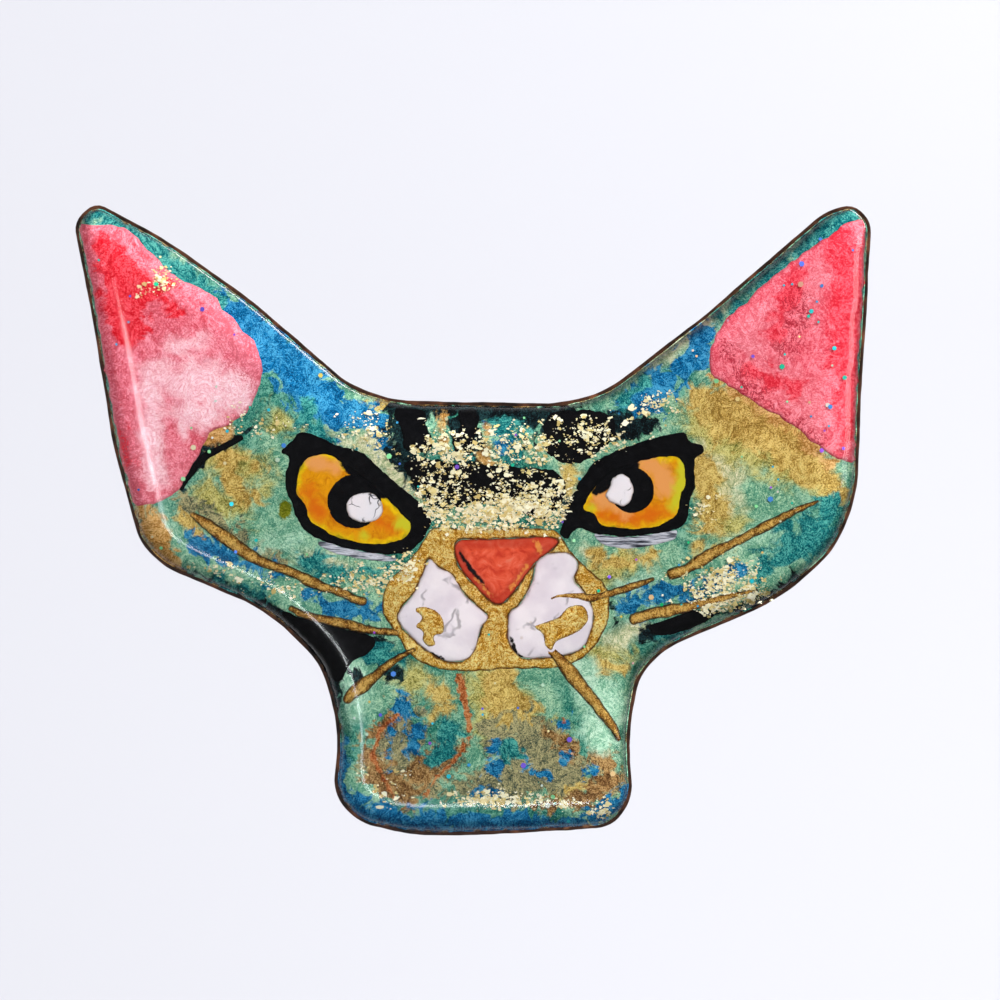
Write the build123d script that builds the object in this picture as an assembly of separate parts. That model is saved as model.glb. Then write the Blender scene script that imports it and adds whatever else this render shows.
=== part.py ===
from build123d import *
import math
import os

# Cat-head brooch: a hand-cut copper plate, painted coats, a clear resin dome and a riveted bar pin.
# Millimetres, upright as worn: the face looks along -Y, +Z is up and +X is to the viewer's right.
# The origin is on the needle's axis, halfway along its shaft. "Ahead" means towards -Y.

# --- depths, measured ahead of the needle's axis -------------------------------------------------
NEEDLE_HEIGHT = 5.2                          # needle axis to the bar's glued face
GLUE_THICK = 0.2
PLATE_THICK = 1.0
COAT_THICK = 0.15
RESIN_THICK = 1.5
BAR_THICK = 0.7
BAR_FRONT = NEEDLE_HEIGHT                    # glued face of the bar
BAR_BACK = BAR_FRONT - BAR_THICK
PLATE_BACK = BAR_FRONT + GLUE_THICK
PLATE_FRONT = PLATE_BACK + PLATE_THICK
COAT_FRONT = PLATE_FRONT + COAT_THICK

# --- thickness of each kind of paint on top of the base coat -------------------------------------
FLAT_PAINT = 0.08
EAR_PAINT = 0.10
IRIS_PAINT = 0.08
OUTLINE_PAINT = 0.16
GOLD_PAINT = 0.18
PAD_PAINT = 0.24
NOSE_PAINT = 0.50
PUPIL_PAINT = 0.06
CATCHLIGHT_PAINT = 0.30
WHISKER_PAINT = 0.40
SCROLL_PAINT = 0.42

# --- how far the layers step in from the plate's edge --------------------------------------------
RIM = 0.25
RESIN_ROUND = 0.8                            # radius of the resin's shoulder

# --- bar pin -------------------------------------------------------------------------------------
BAR_LENGTH = 32.0
BAR_WIDTH = 5.0
BAR_CORNER = 1.6
BAR_HOLE_R = 1.0
BAR_HOLE_X = 7.0
GLUE_MARGIN = 0.8
HINGE_X = -13.4                              # rivet axis
EAR_GAP = 1.3                                # clear space between the two hinge ears
EAR_THICK = 0.7
EAR_R = 1.6
EAR_FOOT = 2.4                               # from the rivet axis to the inner end of the ear's foot
WEB_THICK = 0.7                              # bent end wall that stops the needle's swing
RIVET_R = 0.5
RIVET_HEAD_R = 0.9
RIVET_HEAD_THICK = 0.35
NEEDLE_R = 0.35
NEEDLE_EYE_R = 1.15
NEEDLE_EYE_BORE_R = 0.55
NEEDLE_EYE_WIDTH = 1.1
NEEDLE_SHAFT = 20.0                          # plain stretch that the cloth slides along
NEEDLE_ROOT_R = 0.5                          # root at the eye, tapering to the plain stretch
NEEDLE_TIP_X = 15.3
NEEDLE_TIP_R = 0.04
CATCH_X = 12.4                               # middle of the catch ring
CATCH_LENGTH = 2.6
CATCH_OUTER_R = 2.1
CATCH_BORE_R = 1.6
CATCH_MOUTH = 1.5                            # width of the slot that lets the needle in
CATCH_STEM_WIDTH = 1.4
ROLLER_R = 1.55
ROLLER_BORE_R = 0.75
ROLLER_MOUTH = 1.3
FLANGE_R = 1.95
FLANGE_THICK = 0.4
FLANGE_PLAY = 0.08
TAB_REACH = 3.6
TAB_WIDTH = 1.5
TAB_THICK = 0.45

# --- outlines, as corners that arcs join (x, z) --------------------------------------------------
PLATE = [
    (-27.7, 17.2), (-26.2, 18.6), (-21.3, 16.0), (-15.4, 11.8), (-8.4, 5.8), (-5.2, 4.8),
    (6.0, 4.6), (9.3, 5.5), (15.9, 10.6), (24.4, 17.9), (26.4, 18.5), (27.6, 17.2),
    (27.5, 14.4), (26.9, 4.8), (26.7, -1.5), (25.2, -5.5), (21.1, -9.1), (13.7, -12.2),
    (11.5, -14.2), (10.8, -18.3), (11.1, -22.8), (9.6, -24.8), (3.2, -25.2), (-3.7, -25.4),
    (-7.9, -24.5), (-9.7, -22.5), (-9.3, -18.3), (-10.4, -13.5), (-14.4, -9.7), (-21.3, -6.8),
    (-23.1, -5.1), (-24.9, 1.4), (-26.5, 11.1),
]
LEFT_EAR = [
    (-28.5, 16.9), (-24.3, 16.8), (-22.5, 15.1), (-20.8, 13.2), (-18.4, 12.3), (-16.2, 9.7),
    (-15.1, 8.6), (-14.6, 6.6), (-15.7, 3.9), (-18.5, 2.6), (-19.3, 0.6), (-20.6, -1.7),
    (-22.3, -2.2), (-27.0, -2.8), (-28.5, 11.1),
]
RIGHT_EAR = [
    (28.5, 18.4), (24.5, 16.0), (20.5, 13.1), (19.0, 11.4), (17.5, 10.4), (16.4, 7.9),
    (16.6, 6.6), (18.2, 5.7), (22.7, 2.9), (25.1, 0.8), (28.5, 0.1),
]
LEFT_EYE = [
    (-12.4, 2.1), (-12.2, 2.6), (-11.4, 2.6), (-10.4, 2.2), (-9.5, 1.7), (-7.8, 1.3),
    (-7.0, 0.6), (-5.1, -1.1), (-3.9, -2.1), (-2.9, -3.2), (-3.0, -4.0), (-3.4, -4.8),
    (-4.4, -5.7), (-5.9, -5.9), (-8.1, -5.6), (-9.9, -5.1), (-11.3, -4.5), (-12.2, -3.5),
    (-12.6, -2.2), (-13.1, -1.0), (-12.9, -0.1), (-12.6, 0.8), (-13.4, 1.2), (-12.9, 1.7),
]
LEFT_OPENING = [
    (-11.8, 0.5), (-11.1, 1.0), (-10.0, 1.1), (-8.8, 0.3), (-6.4, -1.6), (-5.1, -2.9),
    (-4.2, -3.9), (-4.8, -4.8), (-6.4, -5.2), (-8.1, -5.0), (-9.6, -4.6), (-11.3, -3.5),
    (-11.5, -2.6), (-12.2, -1.7), (-12.2, -0.6),
]
RIGHT_EYE = [
    (6.0, -4.5), (6.3, -4.8), (6.6, -4.8), (6.8, -4.4), (7.4, -3.9), (8.3, -4.4),
    (10.6, -4.7), (12.8, -4.4), (14.3, -4.1), (14.9, -3.5), (15.0, -1.9), (15.4, -1.2),
    (15.4, 0.9), (16.0, 1.2), (16.0, 1.7), (15.0, 1.9), (14.8, 2.5), (14.2, 2.6),
    (12.4, 2.2), (10.6, 1.6), (8.9, 0.9), (8.2, 0.3), (7.5, -0.6), (6.4, -2.8),
]
RIGHT_OPENING = [
    (11.7, 0.6), (12.8, 0.9), (14.4, 1.0), (14.8, -1.0), (14.3, -1.8), (14.2, -3.1),
    (12.8, -3.9), (11.3, -4.1), (9.8, -4.0), (8.7, -3.7), (8.3, -2.9), (7.6, -2.8),
    (7.9, -2.0), (8.6, -1.0), (9.5, -0.2),
]
LEFT_PUPIL = (-8.2, -2.2, 1.9)               # x, z and radius
RIGHT_PUPIL = (11.0, -1.4, 1.6)
LEFT_CATCHLIGHT = [
    (-8.9, -2.6), (-8.6, -1.9), (-7.7, -1.5), (-6.8, -1.6), (-6.3, -2.2), (-6.2, -3.1),
    (-6.8, -3.6), (-7.8, -3.7), (-8.5, -3.4),
]
RIGHT_CATCHLIGHT = [
    (9.1, -1.7), (9.5, -1.1), (9.6, -0.6), (10.2, -0.2), (10.9, -0.5), (11.2, -1.3),
    (10.9, -2.3), (10.4, -2.6), (9.4, -2.2),
]
LEFT_LID = [
    (-11.2, -4.8), (-9.9, -5.7), (-8.1, -6.1), (-6.1, -6.4), (-4.9, -6.2), (-8.1, -5.4),
]
RIGHT_LID = [(8.2, -4.3), (10.5, -4.5), (14.2, -4.1), (14.1, -4.8), (12.2, -5.3), (10.3, -5.5), (8.8, -5.1)]
MUZZLE = [
    (-2.9, -3.9), (-0.3, -4.1), (3.5, -4.0), (5.9, -4.2), (6.6, -5.4), (7.8, -6.8),
    (9.4, -8.0), (9.5, -9.9), (9.0, -11.5), (7.6, -13.2), (5.5, -13.8), (2.6, -13.7),
    (-0.3, -14.0), (-2.6, -13.8), (-4.2, -13.0), (-5.4, -11.3), (-6.4, -9.7), (-6.1, -8.0),
    (-3.6, -5.4),
]
NOSE = [
    (-1.4, -4.8), (1.8, -4.8), (5.3, -4.6), (6.1, -4.9), (5.3, -5.7), (4.4, -6.3),
    (3.1, -8.1), (2.1, -9.3), (1.4, -9.3), (0.1, -8.0), (-1.1, -6.6),
]
LEFT_PAD = [
    (-3.0, -5.9), (-2.4, -6.8), (-1.5, -7.1), (-0.5, -8.8), (1.2, -10.2), (0.6, -10.8),
    (0.1, -12.6), (-0.6, -13.3), (-1.8, -13.3), (-3.2, -12.6), (-4.8, -11.1), (-5.3, -10.2),
    (-5.0, -9.6), (-4.0, -8.5), (-3.4, -7.0),
]
RIGHT_PAD = [
    (4.4, -6.2), (5.0, -5.8), (6.7, -5.7), (7.4, -6.5), (6.9, -7.7), (7.7, -8.4),
    (8.4, -9.8), (8.3, -10.8), (7.7, -12.4), (6.3, -12.9), (3.5, -13.1), (2.8, -12.6),
    (2.4, -11.6), (2.5, -9.8), (3.1, -9.5), (4.1, -7.9),
]
LEFT_SCROLL = [
    (-4.3, -9.5), (-3.2, -9.4), (-2.3, -9.8), (-1.9, -10.6), (-2.0, -11.4), (-2.8, -11.5),
    (-2.4, -12.2), (-3.2, -12.3), (-3.6, -11.8), (-3.4, -11.2), (-4.2, -10.8), (-3.4, -10.3),
]
RIGHT_SCROLL = [
    (4.0, -10.8), (5.9, -10.2), (6.4, -9.5), (7.4, -9.2), (8.0, -9.7), (8.0, -10.5),
    (7.3, -11.3), (6.4, -11.6), (5.7, -12.0), (5.5, -12.6), (4.9, -12.2), (4.9, -11.4),
]
STRIPES = [
    [(-5.4, 4.3), (-3.4, 4.2), (-3.2, 3.2), (-2.7, 1.9), (-3.0, 1.2), (-5.0, 1.3), (-4.8, 2.4), (-5.5, 3.7)],
    [(-1.3, 4.2), (0.5, 4.2), (0.3, 3.2), (0.0, 2.2), (0.3, 0.9), (-1.3, 1.0), (-1.4, 2.1), (-0.9, 3.2)],
    [(4.8, 4.1), (8.1, 4.2), (9.8, 3.6), (9.9, 2.1), (8.6, 1.2), (7.7, 0.5), (6.0, 0.5), (5.0, 1.2)],
    [(-4.9, 0.9), (-1.3, 0.5), (3.2, 0.1), (5.7, 0.1), (6.6, -1.2), (5.9, -2.9), (4.4, -3.5),
     (1.9, -2.1), (-1.6, -2.6), (-3.3, -2.0), (-4.3, -1.0)],
]
LEFT_JAW = [
    (-13.6, -9.6), (-12.0, -10.2), (-9.5, -10.8), (-6.6, -11.6), (-7.0, -12.6), (-8.6, -13.4),
    (-9.2, -15.0), (-10.2, -14.0), (-12.0, -12.0),
]
RIGHT_JAW = [
    (11.9, -10.8), (13.3, -10.4), (15.2, -9.7), (17.2, -9.7), (16.1, -10.6), (14.0, -11.4), (12.6, -11.5),
]

# --- strokes: centre line and full width (x, z, width) -------------------------------------------
BROW = [(-20.3, -1.4, 0.35), (-18.9, 0.8, 0.60), (-15.9, 2.3, 0.35)]
WHISKERS = {
    "whisker_left_upper": [
        (-19.6, -3.0, 0.40), (-18.6, -3.6, 0.80), (-17.3, -4.6, 1.10), (-15.0, -6.2, 0.90),
        (-13.8, -6.7, 0.75), (-12.6, -7.0, 0.75), (-11.4, -7.7, 0.90), (-10.2, -8.2, 0.75),
        (-9.0, -8.5, 0.65), (-8.1, -9.0, 0.70), (-7.3, -9.2, 0.65),
    ],
    "whisker_left_middle": [
        (-12.8, -9.5, 0.45), (-11.8, -10.0, 0.70), (-10.7, -10.3, 0.65), (-9.0, -10.6, 0.90),
        (-7.3, -11.1, 0.65), (-5.0, -11.3, 0.55),
    ],
    "whisker_left_lower": [
        (-8.9, -16.1, 0.60), (-8.3, -15.4, 1.00), (-7.5, -14.9, 1.15), (-6.8, -14.3, 0.80),
        (-6.0, -13.6, 0.65), (-5.0, -12.9, 0.55), (-3.9, -12.4, 0.50),
    ],
    "whisker_right_upper": [
        (13.4, -7.3, 0.90), (14.2, -7.1, 0.90), (14.9, -6.8, 0.65), (15.6, -6.4, 1.05),
        (16.5, -5.8, 0.90), (17.6, -5.3, 0.70), (20.5, -3.8, 0.80), (22.0, -3.0, 0.60), (24.0, -2.1, 0.30),
    ],
    "whisker_right_second": [
        (5.3, -9.0, 0.40), (6.0, -8.7, 0.45), (7.2, -8.7, 0.70), (8.2, -8.9, 0.75), (9.0, -8.7, 0.60),
        (11.0, -8.1, 0.65), (12.6, -7.5, 0.35),
    ],
    "whisker_right_third": [
        (10.8, -10.5, 0.90), (12.0, -10.0, 0.85), (13.4, -9.8, 1.00), (14.8, -9.5, 0.80),
        (17.6, -8.8, 0.60), (19.8, -8.3, 0.35),
    ],
    "whisker_right_lower": [
        (5.2, -12.3, 0.80), (6.0, -13.1, 0.85), (6.8, -14.1, 1.20), (7.7, -15.2, 0.95),
        (9.2, -17.1, 0.80), (9.9, -18.1, 0.65), (10.2, -18.8, 0.40),
    ],
}

CORNER_SHARE = 0.42                          # part of the shorter side that an arc may use up
LARGEST_ARC = 30.0


def corner_arc(before, corner, after, step):
    """Start, middle and end of the arc that rounds a corner of a clockwise outline.

    The arc uses up CORNER_SHARE of the shorter side. With a step, it is the parallel arc that lies
    that far inside the outline."""
    side_a = math.dist(corner, before)
    side_b = math.dist(corner, after)
    to_a = ((before[0] - corner[0]) / side_a, (before[1] - corner[1]) / side_a)
    to_b = ((after[0] - corner[0]) / side_b, (after[1] - corner[1]) / side_b)
    half = math.acos(to_a[0] * to_b[0] + to_a[1] * to_b[1]) / 2
    radius = min(LARGEST_ARC, CORNER_SHARE * min(side_a, side_b) * math.tan(half))
    reach = math.hypot(to_a[0] + to_b[0], to_a[1] + to_b[1])
    middle = ((to_a[0] + to_b[0]) / reach, (to_a[1] + to_b[1]) / reach)
    outward = 1 if to_a[0] * to_b[1] > to_a[1] * to_b[0] else -1
    away = radius / math.sin(half)
    centre = (corner[0] + middle[0] * away, corner[1] + middle[1] * away)
    stepped = 1 - outward * step / radius
    arc = []
    tangent = radius / math.tan(half)
    for reach, way in ((tangent, to_a), (away - radius, middle), (tangent, to_b)):
        across = (corner[0] + way[0] * reach - centre[0], corner[1] + way[1] * reach - centre[1])
        arc.append((centre[0] + across[0] * stepped, centre[1] + across[1] * stepped))
    return arc


def patch(corners, step=0.0):
    """Flat face whose outline is straight runs joined by tangent arcs, drawn in by step."""
    count = len(corners)
    arcs = []
    for i in range(count):
        arcs.append(corner_arc(corners[i - 1], corners[i], corners[(i + 1) % count], step))
    edges = []
    for i in range(count):
        edges.append(ThreePointArc(*arcs[i]))
        edges.append(Line(arcs[i][2], arcs[(i + 1) % count][0]))
    return make_face(edges)


def stroke(line):
    """Flat face of a brush stroke that follows a centre line and changes width along it."""
    left = []
    right = []
    for i, (x, z, width) in enumerate(line):
        before = line[max(i - 1, 0)]
        after = line[min(i + 1, len(line) - 1)]
        heading = math.atan2(after[1] - before[1], after[0] - before[0])
        side_x = -math.sin(heading) * width / 2
        side_z = math.cos(heading) * width / 2
        left.append((x + side_x, z + side_z))
        right.append((x - side_x, z - side_z))
    return patch(left + right[::-1])


def disc(x, z, radius):
    return Pos(x, z) * Circle(radius)


def slab(face, start, thick):
    """Raise a flat face from a depth ahead of the needle's axis towards the face side."""
    return extrude(Plane.XZ.offset(start) * face, thick)


def paint(face, thick, under=()):
    """A coat on the base coat, lying over the coats in under."""
    coat = slab(face, COAT_FRONT, thick)
    for lower in under:
        coat -= lower
    return coat


def eye(prefix, outer, opening, pupil, catchlight):
    """The black outline, the iris in its opening, the pupil on the iris and the white dab."""
    opening_face = patch(opening)
    coats = {}
    coats[prefix + "_eye_outline"] = paint(patch(outer) - opening_face, OUTLINE_PAINT)
    coats[prefix + "_iris"] = paint(opening_face, IRIS_PAINT)
    pupil_face = disc(*pupil) & opening_face
    coats[prefix + "_pupil"] = slab(pupil_face, COAT_FRONT + IRIS_PAINT, PUPIL_PAINT)
    coats[prefix + "_catchlight"] = paint(patch(catchlight), CATCHLIGHT_PAINT, tuple(coats.values()))
    return coats


def make_paint():
    """Every coat that lies on the base coat, in the order in which it was painted."""
    coat_face = patch(PLATE, RIM)
    inner_face = patch(PLATE, 2 * RIM)
    coats = {}
    coats["left_ear_enamel"] = paint(patch(LEFT_EAR) & inner_face, EAR_PAINT)
    coats["right_ear_enamel"] = paint(patch(RIGHT_EAR) & inner_face, EAR_PAINT)
    coats.update(eye("left", LEFT_EYE, LEFT_OPENING, LEFT_PUPIL, LEFT_CATCHLIGHT))
    coats.update(eye("right", RIGHT_EYE, RIGHT_OPENING, RIGHT_PUPIL, RIGHT_CATCHLIGHT))
    eyes = (patch(LEFT_EYE), patch(RIGHT_EYE))
    coats["left_lid_line"] = paint(patch(LEFT_LID) - eyes[0], FLAT_PAINT)
    coats["right_lid_line"] = paint(patch(RIGHT_LID) - eyes[1], FLAT_PAINT)
    coats["left_brow_stroke"] = paint(stroke(BROW) - patch(LEFT_EAR), FLAT_PAINT)
    coats["left_jaw_shadow"] = paint(patch(LEFT_JAW) & coat_face, FLAT_PAINT)
    coats["right_jaw_shadow"] = paint(patch(RIGHT_JAW) & coat_face, FLAT_PAINT)
    bars = []
    for corners in STRIPES:
        bars.append(paint(patch(corners) & inner_face, FLAT_PAINT, (coats["left_eye_outline"],
                                                                    coats["right_eye_outline"])))
    coats["forehead_stripes"] = Compound(children=bars)

    pads = {"left": patch(LEFT_PAD), "right": patch(RIGHT_PAD)}
    nose = patch(NOSE)
    gold = patch(MUZZLE) - pads["left"] - pads["right"] - nose
    lower = (coats["left_eye_outline"], coats["right_eye_outline"], coats["left_lid_line"],
             coats["right_lid_line"], coats["left_jaw_shadow"])
    coats["muzzle_gold"] = paint(gold, GOLD_PAINT, lower)
    coats["nose"] = paint(nose, NOSE_PAINT)
    for side, pad in pads.items():
        coats[side + "_muzzle_pad"] = paint(pad - nose, PAD_PAINT)
    muzzle = tuple(coats[name] for name in ("muzzle_gold", "left_muzzle_pad", "right_muzzle_pad", "nose"))
    coats["left_muzzle_scroll"] = paint(patch(LEFT_SCROLL), SCROLL_PAINT, muzzle)
    coats["right_muzzle_scroll"] = paint(patch(RIGHT_SCROLL), SCROLL_PAINT, muzzle)
    beneath = muzzle + tuple(coats[name] for name in ("left_muzzle_scroll", "right_muzzle_scroll",
                                                      "left_jaw_shadow", "right_jaw_shadow",
                                                      "left_ear_enamel"))
    for name, line in WHISKERS.items():
        coats[name] = paint(stroke(line), WHISKER_PAINT, beneath)
    return coats


def make_dome(coats):
    """Clear resin over the whole face, with a rounded shoulder, moulded round every coat."""
    dome = slab(patch(PLATE, RIM), COAT_FRONT, RESIN_THICK)
    front_edges = dome.faces().sort_by(Axis.Y)[0].edges()
    dome = fillet(front_edges, RESIN_ROUND)
    return dome - list(coats.values())


def ear_profile():
    """Side view of a hinge ear: a wide foot on the bar and a round head at the rivet."""
    head = Pos(HINGE_X, 0) * Circle(EAR_R)
    foot_left = -BAR_LENGTH / 2
    foot_right = HINGE_X + EAR_FOOT
    body = make_face(Polyline((foot_left, -BAR_BACK), (foot_left, 0), (HINGE_X, EAR_R),
                              (HINGE_X + EAR_R, 0), (foot_right, -BAR_BACK), close=True))
    return head + body


def make_pin_bar():
    """Bar with its two screw holes, the hinge ears bent up at one end and the catch ring at the other."""
    strip = Rectangle(BAR_LENGTH, BAR_WIDTH)
    strip = fillet(strip.vertices(), BAR_CORNER)
    for x in (-BAR_HOLE_X, 0, BAR_HOLE_X):
        strip -= disc(x, 0, BAR_HOLE_R)
    bar = slab(strip, BAR_BACK, BAR_THICK)

    ears = Pos(0, 0, -EAR_GAP / 2 - EAR_THICK) * extrude(ear_profile(), EAR_THICK)
    ears += Pos(0, 0, EAR_GAP / 2) * extrude(ear_profile(), EAR_THICK)
    rivet_hole = Pos(HINGE_X, 0, 0) * Cylinder(RIVET_R, EAR_GAP + 4 * EAR_THICK)
    web_height = BAR_BACK + EAR_R
    web = Pos(-BAR_LENGTH / 2 + WEB_THICK / 2, -BAR_BACK + web_height / 2, 0) * Box(
        WEB_THICK, web_height, EAR_GAP + 2 * EAR_THICK)
    return bar + ears + web - rivet_hole + make_catch_ring()


def ring(outer, bore, length):
    return Cylinder(outer, length, rotation=(0, 90, 0)) - Cylinder(bore, 2 * length, rotation=(0, 90, 0))


def make_catch_ring():
    """Open ring round the roller on a short stem."""
    housing = ring(CATCH_OUTER_R, CATCH_BORE_R, CATCH_LENGTH)
    housing -= Pos(0, CATCH_OUTER_R, 0) * Box(2 * CATCH_LENGTH, 2 * CATCH_OUTER_R, CATCH_MOUTH)
    stem_height = BAR_BACK - (CATCH_OUTER_R + CATCH_BORE_R) / 2
    stem = Pos(0, -BAR_BACK + stem_height / 2, 0) * Box(CATCH_LENGTH, stem_height, CATCH_STEM_WIDTH)
    return Pos(CATCH_X, 0, 0) * (housing + stem)


def make_roller():
    """Slotted sleeve with a flange at each end and a thumb tab on the outer flange."""
    sleeve_length = CATCH_LENGTH + 2 * FLANGE_PLAY
    roller = Cylinder(ROLLER_R, sleeve_length + 2 * FLANGE_THICK, rotation=(0, 90, 0))
    flange_x = (sleeve_length + FLANGE_THICK) / 2
    for side in (-1, 1):
        roller += Pos(side * flange_x, 0, 0) * Cylinder(FLANGE_R, FLANGE_THICK, rotation=(0, 90, 0))
    tab = Pos(flange_x, 0, -TAB_REACH / 2) * Box(TAB_THICK, TAB_WIDTH, TAB_REACH)
    rounded_end = tab.edges().filter_by(Axis.X).sort_by(Axis.Z)[0:2]
    roller += fillet(rounded_end, TAB_WIDTH / 2.5)
    roller -= Cylinder(ROLLER_BORE_R, 4 * CATCH_LENGTH, rotation=(0, 90, 0))
    roller -= Pos(0, FLANGE_R, 0) * Box(4 * CATCH_LENGTH, 2 * FLANGE_R, ROLLER_MOUTH)
    return Pos(CATCH_X, 0, 0) * roller


def along_x(start, end, start_r, end_r):
    """Round bar or cone on the needle's axis."""
    length = end - start
    if start_r == end_r:
        solid = Cylinder(start_r, length, rotation=(0, 90, 0))
    else:
        solid = Cone(start_r, end_r, length, rotation=(0, 90, 0))
    return Pos(start + length / 2, 0, 0) * solid


def make_needle():
    """Wire from a flattened eye on the rivet, through a tapered root, to a long tapered point."""
    half = NEEDLE_SHAFT / 2
    root_start = HINGE_X + (NEEDLE_EYE_R + NEEDLE_EYE_BORE_R) / 2
    eye_disc = Pos(HINGE_X, 0, 0) * Cylinder(NEEDLE_EYE_R, NEEDLE_EYE_WIDTH)
    bore = Pos(HINGE_X, 0, 0) * Cylinder(NEEDLE_EYE_BORE_R, 2 * NEEDLE_EYE_WIDTH)
    root = along_x(root_start, -half, NEEDLE_ROOT_R, NEEDLE_R)
    shaft = along_x(-half, half, NEEDLE_R, NEEDLE_R)
    point = along_x(half, NEEDLE_TIP_X, NEEDLE_R, NEEDLE_TIP_R)
    return eye_disc + root + shaft + point - bore


def make_rivet():
    """Shank through both ears with a head formed at each end."""
    span = EAR_GAP + 2 * EAR_THICK
    rivet = Cylinder(RIVET_R, span)
    for side in (-1, 1):
        head = Pos(0, 0, side * (span + RIVET_HEAD_THICK) / 2) * Cylinder(RIVET_HEAD_R, RIVET_HEAD_THICK)
        outer_edge = head.edges().filter_by(GeomType.CIRCLE).sort_by(Axis.Z)[-1 if side > 0 else 0]
        rivet += fillet(outer_edge, RIVET_HEAD_THICK * 0.7)
    return Pos(HINGE_X, 0, 0) * rivet


def make_parts():
    coats = make_paint()
    glue = Rectangle(BAR_LENGTH + 2 * GLUE_MARGIN, BAR_WIDTH + 2 * GLUE_MARGIN)
    glue = fillet(glue.vertices(), BAR_CORNER + GLUE_MARGIN)
    parts = {
        "copper_plate": slab(patch(PLATE), PLATE_BACK, PLATE_THICK),
        "ground_coat": slab(patch(PLATE, RIM), PLATE_FRONT, COAT_THICK),
        "resin_dome": make_dome(coats),
        "adhesive_bed": slab(glue, BAR_FRONT, GLUE_THICK),
        "pin_bar": make_pin_bar(),
        "hinge_rivet": make_rivet(),
        "needle": make_needle(),
        "catch_roller": make_roller(),
    }
    parts.update(coats)
    return parts


os.makedirs("parts", exist_ok=True)
for node, shape in make_parts().items():
    export_step(shape, f"parts/{node}.step")
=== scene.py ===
import math

import bpy
import numpy as np
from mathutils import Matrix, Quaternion, Vector, noise
from mathutils.geometry import delaunay_2d_cdt


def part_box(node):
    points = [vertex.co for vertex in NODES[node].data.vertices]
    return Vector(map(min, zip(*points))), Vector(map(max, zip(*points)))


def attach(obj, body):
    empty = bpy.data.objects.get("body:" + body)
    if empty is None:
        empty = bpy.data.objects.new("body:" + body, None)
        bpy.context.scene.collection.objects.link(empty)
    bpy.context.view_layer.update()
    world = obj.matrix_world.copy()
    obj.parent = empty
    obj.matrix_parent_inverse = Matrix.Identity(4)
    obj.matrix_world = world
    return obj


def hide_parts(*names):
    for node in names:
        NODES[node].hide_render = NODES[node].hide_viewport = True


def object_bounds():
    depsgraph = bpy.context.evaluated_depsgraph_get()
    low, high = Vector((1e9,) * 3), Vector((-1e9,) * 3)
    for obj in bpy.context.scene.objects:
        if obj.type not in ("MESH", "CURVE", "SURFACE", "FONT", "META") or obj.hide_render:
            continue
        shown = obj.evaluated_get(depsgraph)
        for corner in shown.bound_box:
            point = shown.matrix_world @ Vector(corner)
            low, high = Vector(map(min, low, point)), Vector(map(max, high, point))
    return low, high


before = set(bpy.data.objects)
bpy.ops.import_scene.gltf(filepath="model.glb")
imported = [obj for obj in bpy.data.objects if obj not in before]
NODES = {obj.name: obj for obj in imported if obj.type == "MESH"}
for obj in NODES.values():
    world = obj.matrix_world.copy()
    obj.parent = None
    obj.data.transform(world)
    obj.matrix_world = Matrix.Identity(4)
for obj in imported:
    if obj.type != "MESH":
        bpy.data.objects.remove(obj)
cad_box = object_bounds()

# A hand-painted cat-head brooch. All lengths below are millimetres in the frame's own axes: x to the
# viewer's right, z up, and "depth" measured ahead of the needle's axis, towards the painted face.
MM = 0.001
BODY = "brooch"
RNG = np.random.default_rng(11)
noise.seed_set(11)          # noise_vector starts from the clock otherwise, and each run differs
UNDER_RESIN_GLOSS = 0.03    # specular level of paint that lies under the resin
POOL_CELL = 0.25            # grid of the resin's surface
POOL_ROUNDS = 700           # relaxation steps until the resin's surface settles


def depth_front(node):
    return -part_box(node)[0][1] / MM


def depth_back(node):
    return -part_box(node)[1][1] / MM


PLATE_BACK = depth_back("copper_plate")
PLATE_FRONT = depth_front("copper_plate")
COAT_FRONT = depth_front("ground_coat")
RESIN_HIGH = depth_front("resin_dome") - COAT_FRONT


# ---- outlines ----
def spot(x, z):
    """A place as a key, by which the same corner is found again in another list."""
    return (round(x, 4), round(z, 4))


def front_loops(node):
    """Outline loops (x, z) of a CAD node's front face, in millimetres."""
    mesh = NODES[node].data
    front = min(v.co.y for v in mesh.vertices)
    following = {}
    for poly in mesh.polygons:
        corners = [mesh.vertices[i].co for i in poly.vertices]
        if max(c.y for c in corners) < front + 2e-6:
            keys = [spot(c.x / MM, c.z / MM) for c in corners]
            for a, b in zip(keys, keys[1:] + keys[:1]):
                following[(a, b)] = True
    outer = {}
    for a, b in following:
        if (b, a) not in following:
            outer[a] = b
    loops = []
    while outer:
        start, point = outer.popitem()
        loop = [start]
        while point != start:
            loop.append(point)
            point = outer.pop(point)
        loops.append(np.array(loop))
    return loops


def resample(loop, step):
    """The same closed loop with its points step apart."""
    closed = np.vstack([loop, loop[:1]])
    along = np.concatenate([[0], np.cumsum(np.linalg.norm(np.diff(closed, axis=0), axis=1))])
    count = max(8, int(round(along[-1] / step)))
    wanted = np.linspace(0, along[-1], count, endpoint=False)
    return np.stack([np.interp(wanted, along, closed[:, i]) for i in (0, 1)], axis=1)


def wobble(loop, amount, per_mm, seed):
    """Shift a loop's points by smooth noise, as a brush edge wanders."""
    moved = []
    for x, z in loop:
        coarse = noise.noise_vector(Vector((x * per_mm, seed, z * per_mm)))
        fine = noise.noise_vector(Vector((x * per_mm * 3, seed + 7, z * per_mm * 3)))
        moved.append((x + amount * (coarse.x + 0.45 * fine.x), z + amount * (coarse.z + 0.45 * fine.z)))
    return np.array(moved)


def turning(loop):
    """Twice the loop's area, negative when it runs clockwise."""
    before = np.roll(loop, 1, axis=0)
    return np.sum(before[:, 0] * loop[:, 1] - loop[:, 0] * before[:, 1])


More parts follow.
